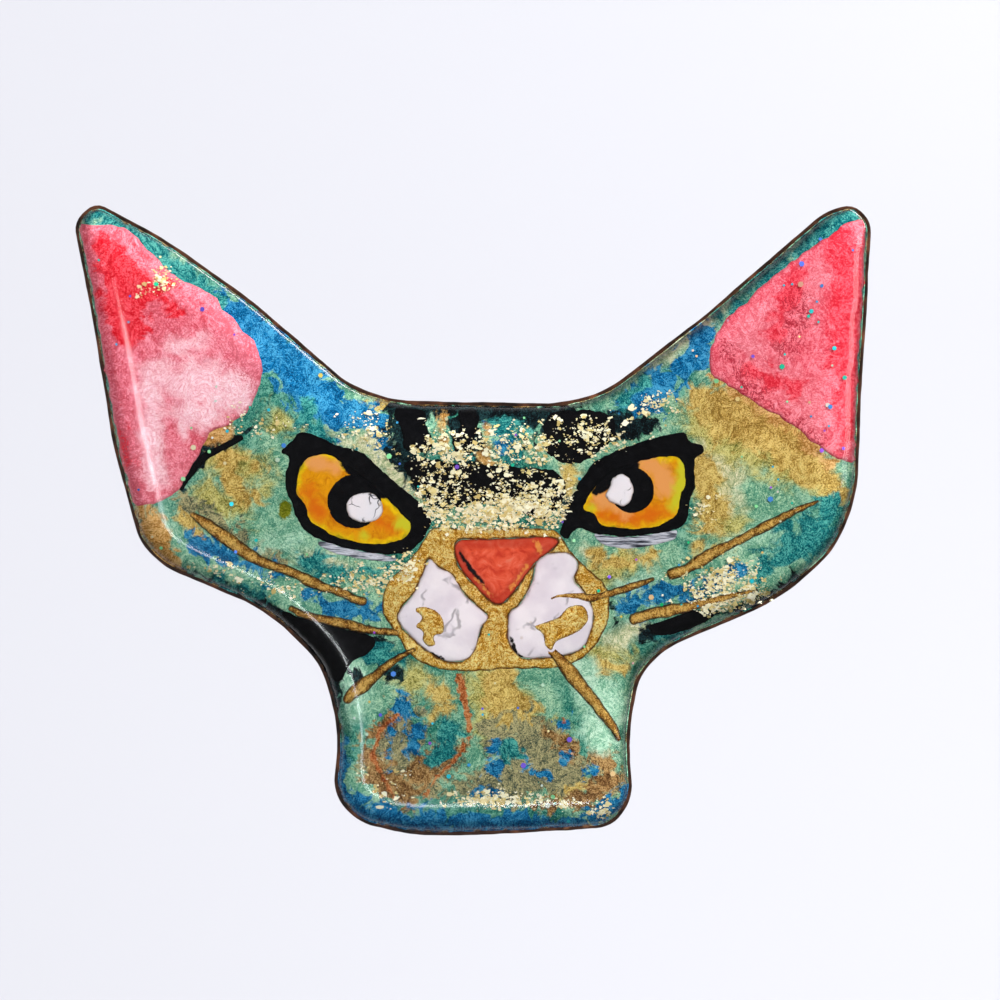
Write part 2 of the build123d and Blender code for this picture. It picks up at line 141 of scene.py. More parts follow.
def draw_in(loop, step):
    """The loop moved inwards by step, for small steps."""
    along = np.roll(loop, -1, axis=0) - np.roll(loop, 1, axis=0)
    along /= np.linalg.norm(along, axis=1)[:, None]
    side = 1 if turning(loop) > 0 else -1
    return loop + side * step * np.stack([-along[:, 1], along[:, 0]], axis=1)


def inside(points, loops):
    """Even-odd test of points against the loops."""
    result = np.zeros(len(points), bool)
    x, z = points[:, 0:1], points[:, 1:2]
    for loop in loops:
        a = loop
        b = np.roll(loop, -1, axis=0)
        rising = (a[:, 1] > z) != (b[:, 1] > z)
        drop = b[:, 1] - a[:, 1]
        drop = np.where(drop == 0, 1e-12, drop)
        cross = x < (b[:, 0] - a[:, 0]) * (z - a[:, 1]) / drop + a[:, 0]
        result ^= (np.sum(rising & cross, axis=1) % 2).astype(bool)
    return result


def edge_distance(points, loops):
    """Distance of each point to the nearest loop."""
    best = np.full(len(points), 1e9)
    for loop in loops:
        a = loop
        ab = np.roll(loop, -1, axis=0) - a
        length = np.maximum(np.sum(ab * ab, axis=1), 1e-12)
        for start in range(0, len(points), 4000):
            p = points[start:start + 4000, None, :]
            t = np.clip(np.sum((p - a) * ab, axis=2) / length, 0, 1)
            gap = np.linalg.norm(p - a - t[..., None] * ab, axis=2).min(axis=1)
            best[start:start + 4000] = np.minimum(best[start:start + 4000], gap)
    return best


def lattice(loops, step):
    """Triangular lattice over the loops' box."""
    everything = np.vstack(loops)
    lo, hi = everything.min(axis=0), everything.max(axis=0)
    rows = np.arange(lo[1], hi[1], step * math.sqrt(3) / 2)
    columns = np.arange(lo[0], hi[0], step)
    grid = []
    for i, z in enumerate(rows):
        grid.append(np.stack([columns + (i % 2) * step / 2, np.full(len(columns), z)], axis=1))
    return np.vstack(grid)


def outline(node, step, inset=0.0):
    """Outline of a node that has just one, with its points step apart, then moved inwards."""
    loop = resample(front_loops(node)[0], step)
    return draw_in(loop, inset) if inset else loop


def fill(loops, step, fine=None, band=0.0):
    """Points and triangles that fill the loops. Within band of the edge the points are finer."""
    points = lattice(loops, step)
    points = points[inside(points, loops)]
    gap = edge_distance(points, loops)
    points = points[gap > max(band, step * 0.5)]
    if fine:
        close = lattice(loops, fine)
        close = close[inside(close, loops)]
        gap = edge_distance(close, loops)
        points = np.vstack([points, close[(gap > fine * 0.5) & (gap <= max(band, step * 0.5))]])
    rims = []
    edges = []
    for loop in loops:
        first = sum(len(r) for r in rims)
        edges += [(first + i, first + (i + 1) % len(loop)) for i in range(len(loop))]
        rims.append(loop)
    everything = np.vstack(rims + [points])
    made = delaunay_2d_cdt([Vector(p) for p in everything], edges, [], 0, 1e-7)
    out = np.array([tuple(v) for v in made[0]])
    triangles = np.array([f for f in made[2]])
    middles = out[triangles].mean(axis=1)
    triangles = triangles[inside(middles, loops)]
    a, b, c = (out[triangles[:, i]] for i in range(3))
    turn = (b[:, 0] - a[:, 0]) * (c[:, 1] - a[:, 1]) - (b[:, 1] - a[:, 1]) * (c[:, 0] - a[:, 0])
    triangles = triangles[abs(turn) > 1e-10]
    turn = turn[abs(turn) > 1e-10]
    triangles[turn < 0] = triangles[turn < 0][:, ::-1]
    return out, triangles


def rim_edges(triangles):
    """Directed edges that only one triangle uses."""
    seen = set()
    for a, b, c in triangles:
        seen.update(((a, b), (b, c), (c, a)))
    return [(a, b) for a, b in seen if (b, a) not in seen]


# ---- solids ----
def mesh_object(name, coords, faces, smooth=None, fields=None):
    """New object from coordinates in millimetres, with its smooth faces and its values at the points."""
    mesh = bpy.data.meshes.new(name)
    mesh.from_pydata((np.array(coords) * MM).tolist(), [], faces)
    if smooth:
        mesh.polygons.foreach_set("use_smooth", smooth)
    for key, values in (fields or {}).items():
        mesh.attributes.new(key, "FLOAT", "POINT").data.foreach_set("value", values)
    mesh.update()
    made = bpy.data.objects.new(name, mesh)
    bpy.context.scene.collection.objects.link(made)
    return made


def solid(name, loops, back, height, step, fine=None, band=0.0, fields=None):
    """Closed sheet over the loops: flat at depth back, and raised in front by height(points, edge)."""
    points, triangles = fill(loops, step, fine, band)
    gap = edge_distance(points, loops)
    gap[gap < 1e-5] = 0
    raised = height(points, gap)
    back_points, back_triangles = fill(loops, max(step * 5, 0.8))
    count = len(points)
    coords = np.zeros((count + len(back_points), 3))
    coords[:count] = np.stack([points[:, 0], -(back + raised), points[:, 1]], axis=1)
    flat = np.full(len(back_points), -back)
    coords[count:] = np.stack([back_points[:, 0], flat, back_points[:, 1]], axis=1)
    places = {spot(x, z): count + i for i, (x, z) in enumerate(back_points)}
    faces = [tuple(t) for t in triangles]
    faces += [(count + c, count + b, count + a) for a, b, c in back_triangles]
    for a, b in rim_edges(triangles):
        faces.append((b, a, places[spot(*points[a])], places[spot(*points[b])]))
    smooth = [bool(len(f) == 3 and max(f) < count) for f in faces]
    values = {"edge": gap}
    for key, strokes in (fields or {}).items():
        values[key] = stroke_field(points, strokes)
    behind = np.zeros(len(back_points))
    values = {key: np.concatenate([front, behind]) for key, front in values.items()}
    return mesh_object(name, coords, faces, smooth, values)


def stroke_field(points, strokes):
    """Signed distance into the nearest of some brush strokes, each a chain of (x, z, half width)."""
    best = np.full(len(points), -9.0)
    for stroke in strokes:
        chain = stroke if len(stroke) > 1 else stroke * 2
        for (ax, az, ar), (bx, bz, br) in zip(chain, chain[1:]):
            ab = np.array([bx - ax, bz - az])
            t = np.clip(((points - (ax, az)) @ ab) / max(ab @ ab, 1e-9), 0, 1)
            gap = np.linalg.norm(points - (ax, az) - t[:, None] * ab, axis=1)
            best = np.maximum(best, ar + (br - ar) * t - gap)
    return best


def noise_at(points, per_mm, seed):
    return np.array([noise.noise(Vector((x * per_mm, seed, z * per_mm))) for x, z in points])


def crowned(high, reach, rough, per_mm, seed, lip):
    """Height of a thick dab of paint: a round edge that reaches full height at reach from it."""
    def height(points, gap):
        rise = 1 - np.clip(gap / reach, 0, 1)
        base = lip + (high - lip) * np.sqrt(np.clip(1 - rise ** 2, 0, 1))
        base = base + rough * noise_at(points, per_mm, seed) * np.clip(gap / reach, 0, 1)
        return np.maximum(base, lip * 0.5)
    return height


# ---- node materials ----
def srgb(r, g, b):
    """A colour given as 0-255 display values."""
    def linear(v):
        v /= 255
        return v / 12.92 if v <= 0.04045 else ((v + 0.055) / 1.055) ** 2.4
    return (linear(r), linear(g), linear(b), 1)


class Graph:
    """A node tree, with short calls for the nodes used here.

    Lengths are millimetres of the object's own space, and colours are 0-255 display values.
    """

    def __init__(self, name, world=False):
        self.owner = (bpy.data.worlds if world else bpy.data.materials).new(name)
        self.owner.use_nodes = True
        self.tree = self.owner.node_tree
        self.tree.nodes.clear()
        self.out = self.node("ShaderNodeOutputWorld" if world else "ShaderNodeOutputMaterial")
        self.place = self.node("ShaderNodeTexCoord")
        self.mm = self.scaled(self.place.outputs["Object"], 1 / MM)

    def node(self, kind, inputs=None, **settings):
        made = self.tree.nodes.new(kind)
        for key, value in settings.items():
            setattr(made, key, value)
        for key, value in (inputs or {}).items():
            self.feed(made.inputs[key], value)
        return made

    def feed(self, socket, value):
        if isinstance(value, bpy.types.NodeSocket):
            self.tree.links.new(value, socket)
        elif isinstance(value, tuple) and len(value) == 3:
            socket.default_value = srgb(*value)
        else:
            socket.default_value = value

    def scaled(self, vector, factor):
        return self.node("ShaderNodeVectorMath", {0: vector, "Scale": factor}, operation="SCALE").outputs[0]

    def stretched(self, x, y, z, turn=0.0):
        inputs = {"Vector": self.mm, "Rotation": Vector((0, turn, 0)), "Scale": Vector((x, y, z))}
        return self.node("ShaderNodeMapping", inputs).outputs[0]

    def noise(self, per_mm, detail=3.0, rough=0.55, distortion=0.0, vector=None):
        inputs = {"Vector": vector or self.mm, "Scale": per_mm, "Detail": detail, "Roughness": rough,
                  "Distortion": distortion}
        return self.node("ShaderNodeTexNoise", inputs).outputs["Fac"]

    def warped(self, per_mm, amount):
        """Coordinates pushed about by noise, for marbled swirls."""
        made = self.node("ShaderNodeTexNoise", {"Vector": self.mm, "Scale": per_mm, "Detail": 2})
        inputs = {0: made.outputs["Color"], 1: Vector((0.5, 0.5, 0.5))}
        centred = self.node("ShaderNodeVectorMath", inputs, operation="SUBTRACT").outputs[0]
        inputs = {0: self.mm, 1: self.scaled(centred, amount)}
        return self.node("ShaderNodeVectorMath", inputs, operation="ADD").outputs[0]

    def cells(self, per_mm, feature="F1", vector=None):
        inputs = {"Vector": vector or self.mm, "Scale": per_mm}
        return self.node("ShaderNodeTexVoronoi", inputs, feature=feature).outputs["Distance"]

    def field(self, name):
        return self.node("ShaderNodeAttribute", attribute_name=name).outputs["Fac"]

    def calc(self, operation, a, b=0.0, c=0.0):
        return self.node("ShaderNodeMath", {0: a, 1: b, 2: c}, operation=operation).outputs[0]

    def span(self, value, low, high, to_low=0.0, to_high=1.0):
        inputs = {"Value": value, "From Min": low, "From Max": high, "To Min": to_low, "To Max": to_high}
        return self.node("ShaderNodeMapRange", inputs, interpolation_type="SMOOTHSTEP").outputs[0]

    def mix(self, factor, a, b):
        return self.node("ShaderNodeMix", {0: factor, 6: a, 7: b}, data_type="RGBA").outputs[2]

    def ramp(self, value, *stops):
        made = self.node("ShaderNodeValToRGB", {0: value})
        elements = made.color_ramp.elements
        while len(elements) < len(stops):
            elements.new(0.5)
        for element, (place, colour) in zip(elements, stops):
            element.position = place
            element.color = srgb(*colour)
        return made.outputs[0]

    def wash(self, name, amount, per_mm, soft, seed_turn=0.0):
        """Mask of a wash of colour: its stroke field, with an edge broken up by noise."""
        broken = self.noise(per_mm, 5, 0.6, 0.8, self.stretched(1, 1, 1, seed_turn))
        value = self.calc("MULTIPLY_ADD", self.calc("SUBTRACT", broken, 0.5), amount * 2, self.field(name))
        return self.span(value, -soft, soft)

    def near_edge(self, per_mm, detail, amount, low, high):
        """Mask by distance from the piece's edge: 0 at low, 1 at high, with a ragged border."""
        ragged = self.calc("MULTIPLY_ADD", self.noise(per_mm, detail), amount, self.field("edge"))
        return self.span(ragged, low, high)

    def tint(self, colour, mask, strength, shade):
        return self.mix(self.calc("MULTIPLY", mask, strength), colour, shade)

    def bump(self, height, distance, strength):
        inputs = {"Strength": strength, "Distance": distance * MM, "Height": height}
        return self.node("ShaderNodeBump", inputs).outputs[0]

    def paint(self, colour, roughness, metallic=0.0, normal=None, **more):
        inputs = {"Base Color": colour, "Roughness": roughness, "Metallic": metallic,
                  "Specular IOR Level": UNDER_RESIN_GLOSS}
        if normal is not None:
            inputs["Normal"] = normal
        inputs.update({key.replace("_", " "): value for key, value in more.items()})
        shader = self.node("ShaderNodeBsdfPrincipled", inputs)
        self.feed(self.out.inputs["Surface"], shader.outputs[0])
        return self.owner


def texture(g, coarse=0.6, fine=2.0, grain=9.0):
    """Marbling: slow swirls, worm-like strands and pigment grains, spread about 0.5."""
    swirl = g.warped(0.4, 3.5)
    total = 0.5
    for part, weight in ((g.noise(coarse, 4, 0.6, 1.2, swirl), 0.75),
                         (g.noise(fine, 4, 0.6, 1.6, swirl), 0.75), (g.noise(grain, 2, 0.7), 0.875)):
        total = g.calc("MULTIPLY_ADD", g.calc("SUBTRACT", part, 0.5), weight, total)
    ridge = g.calc("ABSOLUTE", g.calc("SUBTRACT", g.noise(fine * 0.9, 3, 0.55, 2.4, swirl), 0.5))
    crest = g.calc("ABSOLUTE", g.calc("SUBTRACT", g.noise(fine * 1.3, 3, 0.55, 2.0, swirl), 0.54))
    total = g.calc("SUBTRACT", total, g.span(ridge, 0.034, 0.004, -0.03, 0.24))
    return g.calc("ADD", total, g.span(crest, 0.026, 0.004, 0.0, 0.14))


def tones(g, value, dark, middle, light):
    return g.ramp(value, (0.32, dark), (0.50, middle), (0.68, light))


def green_coat():
    """The base coat: marbled pearl green under washes of ochre, blue, cream and near-black."""
    g = Graph("green_coat")
    value = texture(g)
    patch = g.noise(0.22, 3, 0.5, 0.6)
    mint = tones(g, value, (70, 136, 112), (112, 174, 144), (184, 222, 188))
    deep = tones(g, value, (12, 82, 80), (52, 138, 118), (118, 186, 164))
    colour = g.mix(g.span(patch, 0.40, 0.58), deep, mint)
    layers = (
        ("cream", ((150, 170, 126), (210, 210, 166), (242, 236, 206)), 1.8, 0.5, 0.7, 0.4),
        ("olive", ((96, 100, 48), (180, 172, 92), (218, 212, 138)), 2.6, 0.55, 0.8, 1.9),
        ("ochre", ((136, 104, 44), (204, 170, 88), (232, 208, 128)), 2.4, 0.6, 0.45, 1.1),
        ("mottle", ((54, 70, 64), (136, 134, 98), (192, 182, 134)), 3.2, 0.9, 0.35, 0.2),
        ("umber", ((78, 50, 28), (146, 106, 62), (200, 162, 106)), 2.2, 0.9, 0.25, 2.9),
        # mint: on the right of the chin this wash is partly a painted reflection of a window in the resin
        ("mint", ((112, 172, 142), (166, 216, 186), (212, 242, 220)), 1.6, 0.5, 0.6, 2.6),
        ("blue", ((2, 62, 104), (6, 110, 166), (72, 162, 206)), 2.4, 0.8, 0.20, 1.7),
        ("dusk", ((4, 8, 10), (10, 20, 26), (34, 66, 70)), 2.2, 0.8, 0.20, 3.1),
        ("sea", ((4, 70, 82), (20, 122, 126), (94, 186, 174)), 2.8, 0.6, 0.35, 0.9),
        ("tan", ((146, 100, 44), (204, 154, 84), (230, 192, 130)), 1.6, 0.7, 0.25, 2.3),
        ("moss", ((84, 92, 10), (112, 120, 18), (140, 146, 40)), 0.4, 1.2, 0.10, 0.6),
    )
    for name, shades, amount, per_mm, soft, turn in layers:
        colour = g.mix(g.wash(name, amount, per_mm, soft, turn), colour, tones(g, value, *shades))
    rust = tones(g, value, (116, 52, 26), (186, 100, 52), (214, 150, 96))
    colour = g.mix(g.wash("rust", 0.5, 1.5, 0.08, 0.3), colour, rust)
    worn = g.near_edge(1.1, 4, 0.9, 0.52, 0.38)
    brown = tones(g, value, (44, 34, 22), (112, 84, 44), (176, 140, 84))
    colour = g.tint(colour, worn, 0.85, brown)
    return g.paint(colour, 0.42, 0.12, g.bump(value, 0.07, 0.7))


def ear_pink(name, base, deep, pale, dark):
    """Pearly pink inside an ear: deep red loops, a pale area and darker strands."""
    g = Graph(name)
    value = texture(g, 0.7, 1.8)
    thread = g.noise(1.2, 5, 0.62, 2.4, g.warped(0.4, 4.0))
    colour = tones(g, value, *base)
    colour = g.mix(g.wash("pale", 1.7, 0.5, 0.8, 1.3), colour, tones(g, value, *pale))
    colour = g.mix(g.wash("deep", 2.4, 0.6, 0.3, 2.1), colour, tones(g, value, *deep))
    off_line = g.calc("ABSOLUTE", g.calc("MULTIPLY_ADD", thread, 2.4, -1.2))
    line = g.calc("POWER", g.calc("SUBTRACT", 1.0, off_line), 14)
    colour = g.tint(colour, line, 0.45, deep[0])
    strands = g.calc("MULTIPLY", g.wash("strands", 2.4, 0.6, 0.5, 0.7), g.span(value, 0.52, 0.36))
    colour = g.mix(strands, colour, dark)
    edge = g.near_edge(1.6, 3, 0.4, 0.40, 0.22)
    colour = g.tint(colour, edge, 0.5, dark)
    return g.paint(colour, 0.40, 0.08, g.bump(g.calc("ADD", thread, value), 0.06, 0.6))


def metal_paint(name, shades, lip, crest=None):
    """Grainy metallic paint, raised, with a darker lip at the edge, partly where it thins out and partly
    painted shade on its sloping sides; crest, when given, is a painted highlight along its middle.
    """
    g = Graph(name)
    value = texture(g, 1.0, 3.0, 10.0)
    colour = tones(g, value, *shades)
    # crest: painted highlight, a lighter tone along the middle of the raised stroke
    if crest:
        ridge = g.near_edge(0.7, 4, 0.5, 0.42, 0.62)
        colour = g.tint(colour, ridge, 0.7, tones(g, value, shades[1], crest, shades[2]))
    # lip: a darker tone near the edge, partly thinning paint and partly painted shade on the sloping sides
    edge = g.near_edge(2.2, 4, 0.36, 0.34, 0.20)
    colour = g.tint(colour, edge, 0.92, lip)
    return g.paint(colour, 0.34, 0.10, g.bump(value, 0.10, 0.9), Specular_IOR_Level=0.15)


def black_paint():
    g = Graph("black_paint")
    streak = g.noise(2.2, 4, 0.6, 0.5)
    colour = g.ramp(streak, (0.35, (3, 3, 5)), (0.62, (10, 10, 13)), (0.8, (26, 24, 26)))
    return g.paint(colour, 0.38, 0.0, g.bump(streak, 0.05, 0.5), Specular_IOR_Level=0.04)


def iris_paint(name, turn):
    """Amber iris: orange at the top, yellow towards its lower rim, with brushed streaks."""
    g = Graph(name)
    streak = g.noise(1.0, 5, 0.65, 1.6, g.warped(0.6, 1.5))
    yellow = g.mix(g.span(streak, 0.4, 0.6), (228, 186, 10), (206, 164, 8))
    colour = g.ramp(streak, (0.30, (186, 100, 4)), (0.50, (212, 140, 6)), (0.70, (228, 158, 14)))
    rim = g.calc("MULTIPLY_ADD", g.noise(0.8, 4), 1.6, g.field("edge"))
    colour = g.mix(g.span(rim, 1.35, 1.00), colour, yellow)
    colour = g.mix(g.span(rim, 0.92, 0.75, 0, 0.7), colour, (140, 132, 20))
    colour = g.mix(g.wash("red", 0.9, 0.9, 0.55, turn), colour, (210, 102, 10))
    colour = g.mix(g.wash("pale", 0.8, 0.9, 0.40, 0.5), colour, (222, 150, 84))
    colour = g.mix(g.wash("lime", 0.6, 0.9, 0.35, 0.9), colour, (194, 188, 40))
    colour = g.mix(g.wash("shade", 0.25, 1.5, 0.08), colour, (9, 9, 12))
    specks = g.span(g.noise(5.0, 2, 0.6), 0.70, 0.78)
    colour = g.mix(specks, colour, (120, 60, 10))
    return g.paint(colour, 0.32, 0.0, g.bump(streak, 0.06, 0.5))


def pearl_white(name, tone, crack_per_mm, crease_shade_strength, slit=False):
    """Pearly white, with fine creases where the thick paint has skinned over, tinted grey in them as painted
    shade.
    """
    g = Graph(name)
    cloud = g.noise(0.5, 4)
    colour = g.mix(g.span(cloud, 0.35, 0.7), tone, (232, 226, 234))
    warp = g.warped(0.9, 1.4)
    seam = g.cells(crack_per_mm, "DISTANCE_TO_EDGE", warp)
    crease_shade = g.span(seam, 0.05, 0.012)
    kept = g.calc("MULTIPLY", crease_shade, g.span(g.noise(0.7, 2), 0.48, 0.60))
    # painted shade: grey in the creases
    colour = g.tint(colour, kept, crease_shade_strength, (60, 60, 72))
    edge = g.near_edge(2.0, 4, 0.20, 0.22, 0.10)
    colour = g.tint(colour, edge, 0.6, (150, 122, 104))
    if slit:
        colour = g.mix(g.wash("slit", 0.3, 2.0, 0.06), colour, (30, 26, 30))
    dots = g.span(g.cells(0.55), 0.10, 0.06)
    colour = g.tint(colour, dots, 0.3, (170, 140, 110))
    height = g.calc("SUBTRACT", g.noise(1.2, 4), g.calc("MULTIPLY", kept, 0.8))
    return g.paint(colour, 0.36, 0.0, g.bump(height, 0.07, 0.6))


def nose_red():
    g = Graph("nose_red")
    brush = g.noise(1.0, 5, 0.6, 1.2)
    colour = g.ramp(brush, (0.32, (186, 52, 32)), (0.48, (212, 78, 50)), (0.60, (222, 98, 72)),
                    (0.76, (212, 130, 104)))
    # painted shade: darker red on the bevelled sides, within about 0.55 to 0.95 mm of the edge
    slope = g.near_edge(1.6, 3, 0.25, 0.95, 0.55)
    colour = g.tint(colour, slope, 0.6, (172, 46, 32))
    # painted shade: a near-black line along a crease across the nose
    colour = g.mix(g.wash("crease_shade", 0.20, 2.0, 0.06), colour, (18, 12, 16))
    colour = g.tint(colour, g.wash("glint", 0.6, 2.0, 0.10, 1.0), 0.9, (216, 140, 66))
    edge = g.near_edge(2.4, 3, 0.15, 0.20, 0.08)
    colour = g.tint(colour, edge, 0.8, (110, 44, 24))
    return g.paint(colour, 0.30, 0.0, g.bump(brush, 0.09, 0.7), Specular_IOR_Level=0.12)


def lid_grey():
    """Thin grey-white strokes drawn side by side along the lower lid."""
    g = Graph("lid_grey")
    lines = g.noise(1.0, 4, 0.6, 0.3, g.stretched(0.5, 1, 6.0, 0.12))
    colour = g.ramp(lines, (0.36, (22, 24, 30)), (0.46, (112, 116, 130)), (0.56, (206, 208, 222)),
                    (0.70, (112, 118, 132)))
    return g.paint(colour, 0.4, 0.0, g.bump(lines, 0.04, 0.5))


def copper():
    """Brown-patinated copper: filed edges, and a flat back that is brushed and blotched."""
    g = Graph("patina_copper")
    blotch = g.noise(0.16, 5, 0.6, 0.8)
    streak = g.noise(1.0, 4, 0.6, 0.0, g.stretched(0.35, 2.5, 5.5, 0.35))
    colour = g.ramp(blotch, (0.30, (76, 48, 34)), (0.48, (122, 80, 56)), (0.62, (154, 106, 78)),
                    (0.78, (100, 66, 48)))
    colour = g.mix(g.span(streak, 0.55, 0.72, 0, 0.45), colour, (190, 140, 108))
    bloom = g.span(g.noise(0.5, 5, 0.7), 0.60, 0.74)
    colour = g.tint(colour, bloom, 0.5, (74, 46, 34))
    side = g.span(g.field("wall"), 0.2, 0.8)
    dark = g.ramp(g.noise(0.9, 4), (0.35, (24, 14, 10)), (0.55, (58, 34, 22)),
                  (0.75, (104, 62, 40)))
    colour = g.mix(side, colour, dark)
    rough = g.span(streak, 0.3, 0.7, 0.34, 0.50)
    height = g.calc("ADD", streak, g.calc("MULTIPLY", blotch, 0.4))
    return g.paint(colour, rough, g.span(side, 0.0, 1.0, 0.85, 0.3), g.bump(height, 0.03, 0.5),
                   Specular_IOR_Level=0.3)


def resin():
    """Clear resin: light passes straight through, and the surface mirrors by Fresnel."""
    g = Graph("clear_resin")
    normal = g.bump(g.noise(0.12, 2, 0.4), 0.05, 0.5)
    clear = g.node("ShaderNodeBsdfTransparent", {"Color": (0.985, 0.99, 0.985, 1)})
    gloss = g.node("ShaderNodeBsdfGlossy", {"Roughness": 0.11, "Normal": normal})
    fresnel = g.node("ShaderNodeFresnel", {"IOR": 1.52, "Normal": normal})
    inputs = {0: fresnel.outputs[0], 1: clear.outputs[0], 2: gloss.outputs[0]}
    both = g.node("ShaderNodeMixShader", inputs)
    g.feed(g.out.inputs["Surface"], both.outputs[0])
    return g.owner


def gold_leaf():
    g = Graph("gold_leaf")
    colour = g.ramp(g.field("tone"), (0.0, (184, 152, 80)), (0.3, (236, 218, 150)),
                    (0.7, (255, 250, 222)))
    return g.paint(colour, 0.34, 0.10, g.bump(g.noise(6.0, 3), 0.05, 0.8), Specular_IOR_Level=0.3)


def glitter():
    g = Graph("holographic_glitter")
    colour = g.ramp(g.field("tone"), (0.0, (40, 220, 130)), (0.2, (50, 210, 230)),
                    (0.38, (90, 110, 245)), (0.52, (190, 90, 240)), (0.66, (245, 215, 90)),
                    (0.8, (235, 245, 245)), (0.95, (150, 240, 170)))
    return g.paint(colour, 0.25, 0.3, Specular_IOR_Level=0.3)


def steel(name, tone, rough, stretch):
    """Nickel-plated steel with fine drawn lines, a little yellowed and scuffed."""
    g = Graph(name)
    lines = g.noise(1.0, 4, 0.6, 0.0, g.stretched(*stretch))
    haze = g.noise(0.35, 4)
    colour = g.mix(g.span(haze, 0.35, 0.7), tone, (190, 182, 162))
    colour = g.mix(g.span(g.noise(2.5, 4, 0.7), 0.62, 0.74, 0, 0.35), colour, (120, 116, 106))
    roughness = g.span(lines, 0.3, 0.7, rough, rough + 0.14)
    return g.paint(colour, roughness, 1.0, g.bump(lines, 0.012, 0.4), Specular_IOR_Level=0.5)


def epoxy():
    g = Graph("set_epoxy")
    cloud = g.noise(0.6, 4)
    colour = g.ramp(cloud, (0.35, (176, 162, 122)), (0.6, (206, 196, 162)),
                    (0.78, (222, 214, 188)))
    return g.paint(colour, 0.28, 0.0, g.bump(cloud, 0.06, 0.5), Specular_IOR_Level=0.5)


